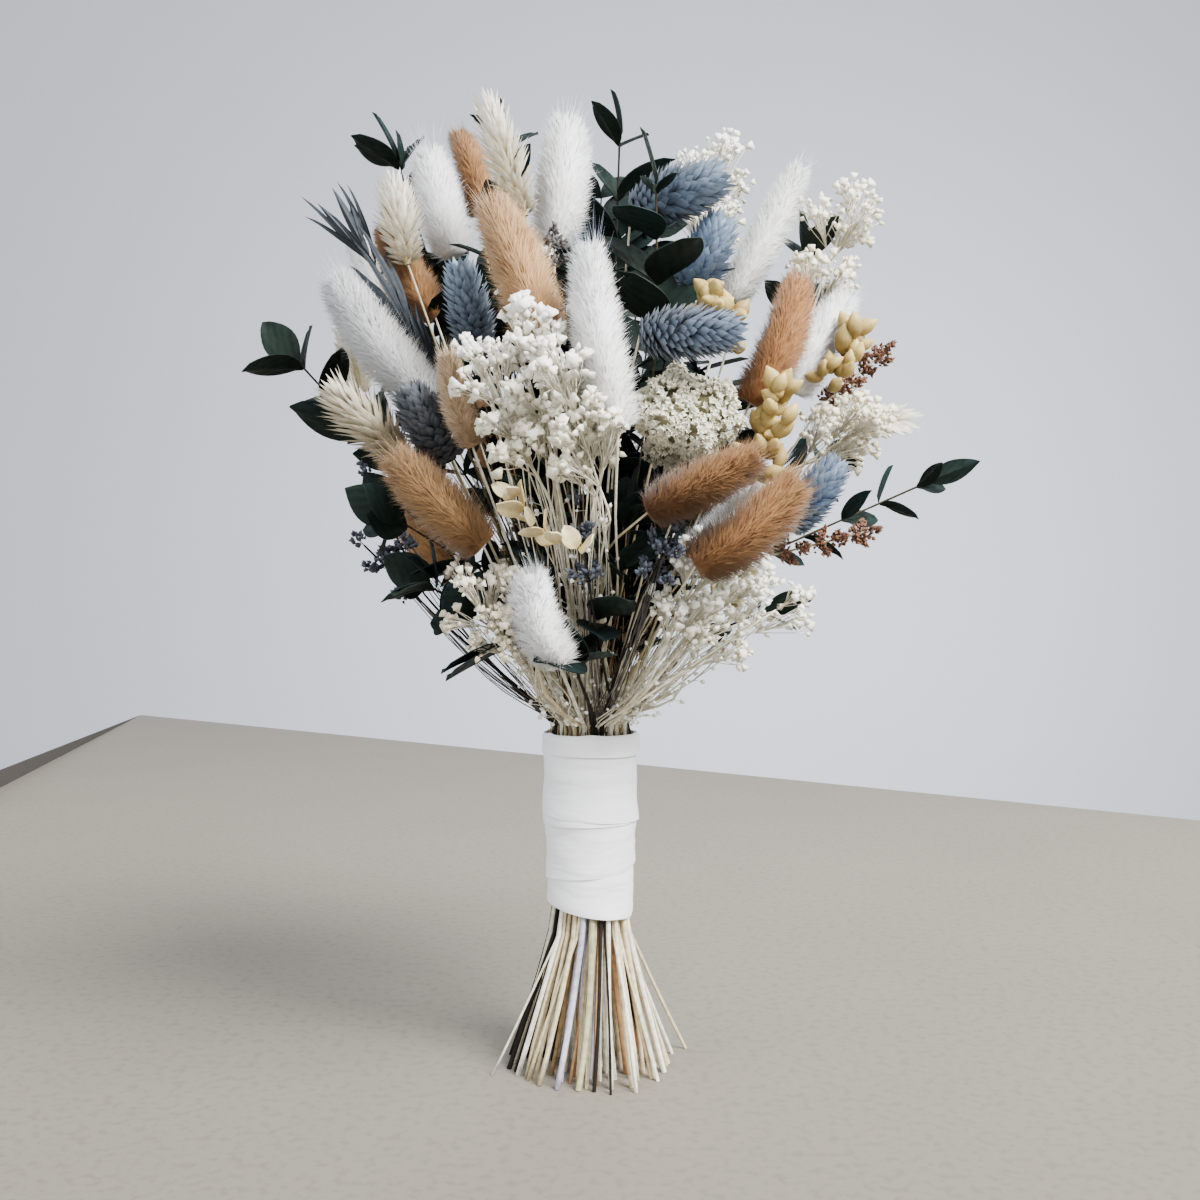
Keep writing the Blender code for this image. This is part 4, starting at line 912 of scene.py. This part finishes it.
def leafParts(flower):
    look, node = leafLook, flower["node"]
    roots, ways, faces, sizes, curls = [], [], [], [], []
    blade = "blade" in node
    loose = 0.14 if blade else 0.36
    for number, (root, rings, tip) in enumerate(flower["sprouts"]):
        ring = rings[-1]
        gaps = np.linalg.norm(ring[:, None] - ring[None], axis=2)
        i, j = np.unravel_index(gaps.argmax(), gaps.shape)
        way = unit(tip - root)
        side = unit(ring[i] - ring[j])
        face = unit(np.cross(way, side))
        reach = np.linalg.norm(tip - root)
        for k in range(look["doubled"].get(node, 1)):
            spread = side * dice.normal(0, loose) + face * dice.normal(0, loose) if k else 0
            length = reach * look["longer"] * (dice.uniform(0.55, 0.95) if k else 1)
            roots.append(root + way * reach * dice.uniform(-0.25, 0.3) * (k > 0))
            ways.append(way + spread)
            faces.append(face if face[2] > 0 else -face)
            wide = gaps.max() * (0.72 if blade else look["broad"].get(node, look["wider"]))
            if number in look["young"].get(node, ()):
                wide, length = min(wide, gaps.max() * 1.15), length * 0.88
            if number in look["small"].get(node, ()):
                wide, length = wide * 0.6, length * 0.6
            sizes.append((wide, wide if blade else length, length))
            curls.append(dice.uniform(0.0, 0.24))
    count = len(roots)
    shade = dice.random(count)[:, None]
    if blade:
        tints = np.array(look["bladeRoot"]) * (0.7 + 0.9 * shade)
        ends = np.array(look["bladeEnd"]) * (0.7 + 0.7 * shade)
        return [copies("blade", roots, ways, faces, sizes, tints, ends, curl=curls)]
    tints = np.array(look["dark"]) * (0.8 + 0.5 * shade)
    ends = mix(look["light"], look["bluish"], dice.random(count)) * (0.6 + 0.7 * shade)
    parts = [copies("leaf", roots, ways, faces, sizes, tints, ends, curl=curls)]
    return parts + innerTwigs(flower) + drawnApart(fillerTwigs, flower)


def envelope(z):
    return np.interp(z / mm, [120, 150, 185, 230, 270, 310, 345], [14, 32, 58, 80, 82, 66, 30]) * mm


# A random point inside the bouquet at some turn, between two heights in mm and two shares of its reach
def insidePoint(turn, lowest, highest, least, most):
    z = dice.uniform(lowest, highest) * mm
    far = envelope(z) * dice.uniform(least, most)
    return np.array([far * math.cos(turn) * 1.1, far * math.sin(turn) * 0.85, z]), far


def twigLeaves(roots, ways, faces, sizes):
    count = len(roots)
    shade = dice.random(count)[:, None]
    tints = np.array(leafLook["dark"]) * (0.7 + 0.4 * shade)
    ends = mix(leafLook["light"], leafLook["bluish"], dice.random(count)) * (0.4 + 0.5 * shade)
    return copies("plainLeaf", roots, ways, faces, sizes, tints, ends, curl=dice.uniform(-0.02, 0.12, count))


def innerTwigs(flower):
    look = leafLook
    parts, roots, ways, faces, sizes = [], [], [], [], []
    high = flower["base"][2]
    steps = 8
    for k in range(look["innerTwigs"]):
        turn = dice.uniform(0, fullTurn)
        end, far = insidePoint(turn, 172, 285, 0.15, 0.68)
        middle = high + (end - high) * 0.5 - np.array([math.cos(turn), math.sin(turn), 0]) * far * 0.12
        line = smoothLine([end, middle, high, lower(high, 10)], steps)
        parts.append(stemPart(line, np.linspace(0.35, 0.9, len(line)) * mm, 5, stemTints["dark"]))
        for n in range(look["innerLeaves"]):
            at = 0.62 * (n // 2 + 0.1) / (look["innerLeaves"] / 2) * steps * 2
            low = int(at)
            along = unit(line[low] - line[low + 1])
            first, _ = across(along, dice.normal(0, 0.4) + (n // 2) * math.pi / 2)
            way = unit(along * dice.uniform(0.5, 1.0) + first * (1 if n % 2 else -1))
            length = dice.uniform(15, 24) * mm
            roots.append(mix(line[low], line[low + 1], at - low))
            ways.append(way)
            faces.append(np.cross(way, np.cross(along, way)) + 1e-3)
            sizes.append((length * dice.uniform(0.42, 0.58), length, length))
    for k in range(look["innerStems"]):
        turn = dice.uniform(0.4 * math.pi, 1.5 * math.pi) if k % 2 else dice.uniform(0, fullTurn)
        end, _ = insidePoint(turn, 165, 235, 0.1, 0.72)
        foot = insideTie(high + sideways(4))
        line = smoothLine([end, mix(foot, end, 0.5) + sideways(2.5), foot, lower(foot, 8)], 3)
        tint = mix(stemTints["twig"], stemTints["brown"], dice.random())
        parts.append(stemPart(line, np.linspace(0.16, 0.34, len(line)) * mm, 4, tint))
    return [*parts, twigLeaves(roots, ways, faces, sizes)]


# Twigs whose leaves face the front, where the photograph shows dark leaves between the heads
def fillerTwigs(flower):
    look = leafLook
    parts, roots, ways, sizes = [], [], [], []
    high = flower["base"][2]
    for end in np.array(look["fillers"].get(flower["node"], [])) * mm:
        middle = mix(high, end, 0.5) - end * [0.12, 0.12, 0]
        line = smoothLine([end, middle, high, lower(high, 10)], 8)
        parts.append(stemPart(line, np.linspace(0.3, 0.9, len(line)) * mm, 5, stemTints["dark"]))
        for n in range(look["fillerLeaves"]):
            at = n // 2 * 0.7
            low = int(at)
            along = unit(line[low] - line[low + 1])
            side = unit(np.cross(along, [0, -1, 0])) * (1 if n % 2 else -1)
            length = dice.uniform(13, 19) * mm
            roots.append(mix(line[low], line[low + 1], at - low))
            ways.append(unit(along * dice.uniform(0.5, 1.1) + side + dice.normal(0, 0.2, 3)))
            sizes.append((length * dice.uniform(0.42, 0.56), length, length))
    if roots:
        faces = dice.normal(0, 0.35, (len(roots), 3)) + [0, -1, 0.3]
        parts.append(twigLeaves(roots, ways, faces, sizes))
    return parts


# Sprays of florets: each CAD floret is a cluster of them on hair-thin stalks
sprayLook = {
    "floret": (0.96, 0.955, 0.93), "foot": (0.90, 0.88, 0.78), "stalk": (0.74, 0.69, 0.54),
    "stalkEnd": (0.86, 0.83, 0.72), "straw": (0.82, 0.76, 0.61), "usual": (20, 6.0, 3.0),
    "strawReach": 112 * mm,
    # how many florets to a cluster, how far they spread and how wide they are, in mm
    "own": {
        "white_floret_spray_1": (20, 6.2, 3.6), "white_floret_spray_2": (22, 7.2, 3.1),
        "white_floret_spray_3": (20, 6.6, 2.9), "white_floret_spray_4": (35, 9.5, 3.1),
    },
    "creamy": {"white_floret_spray_3": (0.88, 0.82, 0.70)},
    "aged": (0.10, 0.16, 0.30),
}


def sprayParts(flower):
    look = sprayLook
    each, spread, breadth = look["own"].get(flower["node"], look["usual"])
    parts, roots, ways, sizes = [], [], [], []

    def addStalk(line, thick):
        parts.append(stemPart(line, thick * mm, 3, look["stalk"], look["stalkEnd"]))

    for root, rings, tip in flower["sprouts"]:
        heart = rings[0].mean(0)
        out = unit(tip - root)
        forks = [root + (heart - root) * share for share in (0.3, 0.5, 0.7)]
        for k in range(each):
            way = unit(out * 0.9 + dice.normal(0, 0.75, 3))
            wide = breadth * mm * dice.uniform(0.6, 1.2)
            top = heart + way * spread * mm * dice.uniform(0.1, 1.0) ** 0.6
            ways.append(way)
            roots.append(top - way * wide * 0.5)
            sizes.append((wide, wide, wide))
            fork = forks[k % 3]
            addStalk([fork, (fork + top) / 2 + out * 0.5 * mm, top - way * wide * 0.4], 0.15)
        parts.append(stemPart([root, forks[0], forks[2]], [0.3 * mm, 0.24 * mm, 0.16 * mm], 4, look["stalk"]))
    count = len(roots)
    roots, ways, sizes = np.array(roots), np.array(ways), np.array(sizes)
    shade = (1 + dice.normal(0, 0.05, count))[:, None]
    # the florets nearer the foot of a spray are creamier and darker
    belowTop = np.clip((roots[:, 2].max() - roots[:, 2]) / (50 * mm), 0, 1)[:, None]
    cream = np.array(look["creamy"].get(flower["node"], (1, 1, 1))) * (1 - belowTop * look["aged"])
    ends = np.minimum(cream * look["floret"] * shade, 0.97)
    feet = cream * look["foot"] * shade
    isOpen = dice.random(count) < 0.48
    face = across(ways, dice.uniform(0, 6.28, count))[0]
    shownAs = ("star", isOpen, (1, 1, 1), 0.3), ("bead", ~isOpen, (0.66, 0.58, 0.8), 0.4)
    for shape, some, stretch, heart in shownAs:
        shown = roots[some], ways[some], face[some], sizes[some] * stretch, feet[some], ends[some]
        parts.append(copies(shape, *shown, heart=heart))
    # straw-thin stems run down among the others into the ribbon
    high = flower["base"][2]
    roots, ways, sizes = [], [], []
    for root, rings, tip in flower["sprouts"]:
        few = np.linalg.norm(root - high) > look["strawReach"]
        for k in range(int(dice.random() < 0.4) + int(not few)):
            foot = insideTie(high + sideways(3.4))
            rise, bulge = root - foot, sideways(3.2)
            bends = [lower(foot + rise * 0.62 + bulge, 3), lower(foot + rise * 0.3 - bulge * 0.3, 2)]
            line = smoothLine([root, *bends, foot, lower(foot, 8)], 3)
            straw = np.array(look["straw"]) * dice.uniform(0.75, 1.2)
            parts.append(stemPart(line, dice.uniform(0.16, 0.28) * mm, 4, straw))
            # a few buds stand off each of them on stalks of their own
            for n in range(dice.integers(2, 6)):
                at = dice.integers(1, 9)
                up = unit(line[at - 1] - line[at])
                way = unit(up + dice.normal(0, 0.55, 3))
                top = line[at] + way * dice.uniform(3, 8) * mm
                addStalk([line[at], top], 0.12)
                length = dice.uniform(1.3, 2.3) * mm
                roots.append(top - way * 0.2 * mm)
                ways.append(way)
                sizes.append((length * 0.85, length * 0.85, length))
    if roots:
        turned = across(np.array(ways))[0]
        ends = np.array(look["floret"]) * dice.uniform(0.85, 1.0, len(roots))[:, None]
        parts.append(copies("bead", roots, ways, turned, sizes, look["foot"], ends, heart=0.4))
    return parts


# Pods, grain, buds and seeds
dropLook = {
    "beige": {
        "shape": "pod", "root": (0.28, 0.19, 0.055), "end": (0.57, 0.42, 0.145), "each": 4, "size": 8.7,
        "paper": 8.2, "lowest": 181 * mm,
    },
    "paper": {"root": (0.50, 0.37, 0.15), "end": (0.82, 0.735, 0.47)},
    "rust": {
        "shape": "grain", "root": (0.07, 0.026, 0.013), "end": (0.235, 0.11, 0.062), "each": 40, "size": 1.9,
    },
    "blue": {
        "shape": "bead", "root": (0.022, 0.024, 0.034), "end": (0.10, 0.115, 0.155), "each": 20, "size": 2.3,
    },
    "grey": {
        "shape": "grain", "root": (0.05, 0.045, 0.045), "end": (0.22, 0.20, 0.185), "each": 22, "size": 2.1,
    },
    "wires": [(0.05, 0.045, 0.045), (0.15, 0.135, 0.125)],
}


# The wiry stems of the buds, which sag outwards on their way down into the tie
def budWires(flower):
    parts = []
    for root, rings, tip in flower["sprouts"]:
        foot = insideTie(flower["base"][2] + sideways(3.4))
        away = unit((root - foot) * [1, 1, 0])
        sag = (away * dice.uniform(0, 6) - [0, 0, dice.uniform(0, 5)]) * mm
        line = smoothLine([root, mix(foot, root, 0.45) + sag, foot, lower(foot, 8)], 4)
        tint = mix(*dropLook["wires"], dice.random())
        parts.append(stemPart(line, np.linspace(0.15, 0.22, len(line)) * mm, 4, tint))
    return parts


def dropParts(flower):
    node = flower["node"]
    look = dropLook[node.replace("back_", "").split("_")[0]]
    papery = node == "beige_pods_1"
    parts, roots, ways, sizes = [], [], [], []
    for root, rings, tip in flower["sprouts"]:
        heart = rings[0].mean(0)
        reach = np.linalg.norm(rings[0] - heart, axis=1).mean()
        out = unit(tip - root)
        start = root if len(rings) == 1 else rings[-1].mean(0)
        length = np.linalg.norm(tip - start)
        if papery and heart[2] < look["lowest"]:
            continue
        if look["shape"] == "pod":
            for k in range(1 if papery else look["each"]):
                way = unit(out + dice.normal(0, 0.5 if k else 0.1, 3))
                scale = dice.uniform(0.8, 1.05) * (0.9 if k else 1.1)
                side = unit(np.cross(out, dice.normal(0, 1, 3))) * reach * (1.5 if k else 0)
                roots.append(start + side - out * length * (dice.uniform(0, 0.4) if k else 0))
                ways.append(way)
                wide = look["paper" if papery else "size"]
                sizes.append(np.array([0.72, 1, 1] if papery else [0.66, 0.66, 1.05]) * wide * mm * scale)
            continue
        for k in range(look["each"]):
            t = (k + 0.5) / look["each"]
            way = unit(out + dice.normal(0, 0.6, 3))
            wide = look["size"] * mm * dice.uniform(0.7, 1.2)
            body = (reach + 0.9 * mm) * math.sin(math.pi * min(0.25 + 0.75 * t, 0.93))
            side = unit(np.cross(out, dice.normal(0, 1, 3)))
            roots.append(start + out * length * (t * 1.1 - 0.15) + side * body * dice.uniform(0.1, 1.0))
            ways.append(way)
            sizes.append((wide * 0.75, wide * 0.65, wide))
        parts.append(stemPart([root, heart, tip - out * 0.5 * mm], 0.2 * mm, 3, look["root"]))
    count = len(roots)
    shade = (1 + dice.normal(0, 0.16, count))[:, None]
    face = across(np.array(ways), dice.uniform(0, 6.28, count))[0]
    shape = "paper" if papery else look["shape"]
    look = dropLook["paper"] if papery else look
    ends = np.array(look["end"]) * shade
    if papery:
        ends = mix(ends, look["root"], dice.random(count) ** 2)
    parts.append(copies(shape, roots, ways, face, sizes, np.array(look["root"]) * shade, ends))
    return parts + (drawnApart(budWires, flower) if "bud" in node else [])


stemsLoosen = 124 * mm


def makeFlower(flower):
    node = flower["node"]
    colour = node.replace("back_", "").split("_")[0]
    stems = stemParts(flower)
    kind = flower["kind"]
    if kind in ("tail", "ear"):
        make = tailParts if kind == "tail" else headParts
        parts = [part for head in flower["heads"] for part in make(*head, colour, node)]
        finish = "bracts" if kind == "ear" else "dyedFluff" if colour == "tan" else "fluff"
    elif kind == "dome":
        parts, finish = domeParts(flower), "petals"
    elif kind == "leaf":
        parts, finish = leafParts(flower), "blade" if "blade" in node else "leaf"
    elif "floret" in node:
        parts, finish = sprayParts(flower), "petals"
    else:
        parts, finish = dropParts(flower), "pods" if colour == "beige" else "grain"
    # just above the ribbon the stems spread to its full width
    for part in parts + stems:
        points = part["points"]
        above = (points[:, 2:3] - stemsLoosen) / (9 * mm)
        points[:, :2] *= 1 + 0.08 * np.exp(-(above**2))
    makePiece(node + "_look", parts + stems, [finish, "stem"], node)


for flower in flowers.values():
    makeFlower(flower)
print("flowers made:", madeOf["pieces"], "pieces,", madeOf["faces"], "faces")


# The ribbon: one strip wound up the stems, with its top edge folded back over the last turn
ribbonLook = {
    "width": 38 * mm, "turns": 4.25, "thick": 0.3 * mm, "bottom": 56 * mm, "top": 119 * mm, "climb": 33 * mm,
    "inner": 14.75 * mm, "layer": 0.42 * mm, "steps": 72, "columns": 18, "colour": (0.94, 0.95, 0.98),
    # how far the strip swells over the twine, creases, and hangs lower at the right
    "swell": 0.75 * mm, "crease": 0.2 * mm, "droop": 2.8 * mm,
}
twineLook = {
    "turns": 3, "radius": 14.9 * mm, "bottom": 85.6 * mm, "rise": 4.8 * mm, "strand": 0.48 * mm,
    "twists": 9, "apart": 0.42 * mm, "colour": (0.45, 0.33, 0.18),
}


def makeRibbon():
    look = ribbonLook
    count = int(look["turns"] * look["steps"])
    turnOf = np.arange(count + 1) / look["steps"]
    a = (-math.pi * 0.35 + turnOf * fullTurn)[:, None]
    climb = np.clip((turnOf - 0.9) / (look["turns"] - 1.9), 0, 1)
    climb = climb * climb * (3 - 2 * climb)
    low = look["bottom"] + climb * look["climb"]
    u = np.linspace(0, 1, look["columns"] + 1) * look["width"]
    z = low[:, None] + u[None]
    over = z - look["top"]
    folded = over > 0
    z = np.where(folded, look["top"] - over * 0.96, z)
    twineMiddle = twineLook["bottom"] + twineLook["rise"] / 2
    tie = np.exp(-(((z - twineMiddle) / (6.5 * mm)) ** 2))
    radius = look["inner"] + look["layer"] * turnOf[:, None] + look["swell"] * tie
    radius = radius + np.where(folded, np.minimum(over * 0.5, 0.55 * mm), 0.0)
    # slack between the turns, and slanting creases where the strip was pulled round
    crease = np.sin(3.1 * a + z / mm * 0.42) * np.sin(1.3 * a + 1.0) ** 2
    crease = crease + 0.7 * np.sin(5.3 * a - z / mm * 0.3 + 2) * np.sin(0.8 * a + z / mm * 0.05) ** 2
    crease = crease + 0.8 * np.sin(z / mm * 1.1 + 0.9 * np.sin(1.7 * a)) * np.sin(1.1 * a + 0.4) ** 4
    radius = radius + look["crease"] * crease
    # the lower edge hangs lower at the right, and the hem stands out there
    tilt = look["droop"] * np.cos(a + 0.35)
    z = z - tilt * (look["top"] - z) / (look["top"] - look["bottom"])
    radius = radius + np.where(folded, 0.3 * mm * (1 + np.cos(a)), 0)
    points = np.stack([radius * np.cos(a), radius * np.sin(a), z], -1)
    inner = points.reshape(-1, 3)
    shell = unit(np.stack([np.cos(a) + 0 * z, np.sin(a) + 0 * z, 0 * z], -1))
    outer = (points + shell * look["thick"]).reshape(-1, 3)
    half = len(inner)
    index = np.arange(half).reshape(count + 1, -1)
    skin = np.stack([index[:-1, :-1], index[1:, :-1], index[1:, 1:], index[:-1, 1:]], -1).reshape(-1, 4)
    edges = index[:, 0][::-1], index[:, -1], index[0], index[-1][::-1]
    rims = [np.stack([edge[:-1], edge[1:], edge[1:] + half, edge[:-1] + half], -1)[:, ::-1] for edge in edges]
    quads = np.concatenate([skin + half, skin[:, ::-1], *rims])
    faces = np.concatenate([quads[:, [0, 1, 2]], quads[:, [0, 2, 3]]])
    grain = np.stack(np.broadcast_arrays((u / look["width"])[None], turnOf[:, None] * 2.7), -1).reshape(-1, 2)
    part = makePart(np.concatenate([inner, outer]), faces, look["colour"], np.concatenate([grain, grain]))
    made = makePiece("ribbon_strip", [part], ["satin"], "ribbon_wrap")


# The twine under the ribbon: turns of two twisted strands
def makeTwine():
    look = twineLook
    parts = []
    t = np.linspace(0, 1, look["turns"] * 40 + 1)
    angle = t * look["turns"] * fullTurn
    for side in (0, math.pi):
        twist = angle * look["twists"] + side
        radius = look["radius"] + look["apart"] * np.cos(twist)
        z = look["bottom"] + look["rise"] * t + look["apart"] * np.sin(twist)
        line = np.stack([radius * np.cos(angle), radius * np.sin(angle), z], 1)
        parts.append(stemPart(line, look["strand"], 6, look["colour"], finish=0))
    makePiece("binding_twine_look", parts, ["fibre"], "binding_twine")


makeTwine()
makeRibbon()
print("ribbon and twine made")


# Stage, light and camera. The camera stands level with the middle of the bouquet.
def stagePlane(name, corners, colour, rough, spread, near=1.0):
    mesh = bpy.data.meshes.new(name)
    mesh.from_pydata(corners, [], [tuple(range(len(corners)))])
    finish, add = newFinish(name)
    where = add("TexCoord", "Object", {})
    cloud = add("TexNoise", "Fac", {"Vector": where, "Scale": 9, "Detail": 6})
    darker, lighter = [(*[c * (1 + swing) for c in colour], 1) for swing in (-spread, spread)]
    tone = add("Mix", "Result", {"Factor": cloud, "A": darker, "B": lighter}, data_type="RGBA")
    # fine dark specks, and painted shade that darkens the plane towards the camera, down to near
    specks = add("TexNoise", "Fac", {"Vector": where, "Scale": 260, "Detail": 3})
    speckRange = {"From Min": 0.34, "From Max": 0.5, "To Min": 1 - spread * 2.5}
    dark = add("MapRange", "Result", {"Value": specks, **speckRange})
    depth = add("SeparateXYZ", "Y", {"Vector": where})
    frontShade = add("MapRange", "Result", {"Value": depth, "From Min": -0.25, "From Max": 0.35, "To Min": near})
    both = add("Math", "Value", {0: dark, 1: frontShade}, operation="MULTIPLY")
    shaded = add("VectorMath", "Vector", {0: tone, "Scale": both}, operation="SCALE")
    feed(finish, "Principled BSDF", {"Base Color": shaded, "Roughness": rough})
    mesh.materials.append(finish)
    made = addObject(name, mesh)


tableTop = [
    (-0.31, -0.5, 0), (-0.2, -1.2, 0), (2.6, -1.2, 0), (1.5, -0.33, 0), (0.453, 0.513, 0), (-0.66, 1.41, 0),
]
wall = [(-4, 2.4, -1.5), (4, 2.4, -1.5), (4, 2.4, 3), (-4, 2.4, 3)]
# painted shade: a dark sheet at the foot of the wall, where it shows past the table's left edge
wallFoot = [(-0.66, 1.41, 0), (-0.485, 0.455, 0), (-0.485, 0.455, 0.021)]
# near=0.7 paints shade on the floor's front, darker towards the camera
stagePlane("floor", tableTop, (0.236, 0.209, 0.165), 0.6, 0.07, near=0.7)
stagePlane("backdrop", wall, (0.44, 0.462, 0.505), 0.9, 0.02)
stagePlane("wallFoot", wallFoot, (0.062, 0.053, 0.045), 0.9, 0.05)


def softLight(name, place, aim, width, power, colour=(1, 1, 1)):
    lamp = bpy.data.lights.new(name, "AREA")
    lamp.shape = "RECTANGLE"
    lamp.size, lamp.size_y = width, width
    lamp.energy = power
    lamp.color = colour
    made = addObject(name, lamp)
    made.location = place
    way = unit(np.array(aim) - np.array(place))
    made.rotation_euler = (math.acos(-way[2]), 0, math.atan2(way[1], way[0]) - math.pi / 2)


softLight("windowLight", (0.95, -0.95, 1.45), (0, 0, 0.2), 1.05, 150)
softLight("fillLight", (-1.3, -0.8, 0.7), (0, 0, 0.2), 1.2, 14, (0.94, 0.97, 1))
softLight("wallLight", (0.35, 1.45, 0.15), (0.3, 2.4, 0.1), 1.6, 26)

world = bpy.data.worlds.new("room")
bpy.context.scene.world = world
world.use_nodes = True
feed(world, "Background", {"Color": (0.86, 0.89, 0.93, 1), "Strength": 1.1})

eye = bpy.data.cameras.new("eye")
eye.lens, eye.sensor_width = 39.0, 36.0
eyeObject = addObject("eye", eye)
eyeObject.location = (3.6 * mm, -468 * mm, 166 * mm)
eyeObject.rotation_euler = (math.pi / 2, 0, 0)
bpy.context.scene.camera = eyeObject

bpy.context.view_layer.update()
print("faces in all:", madeOf["faces"])
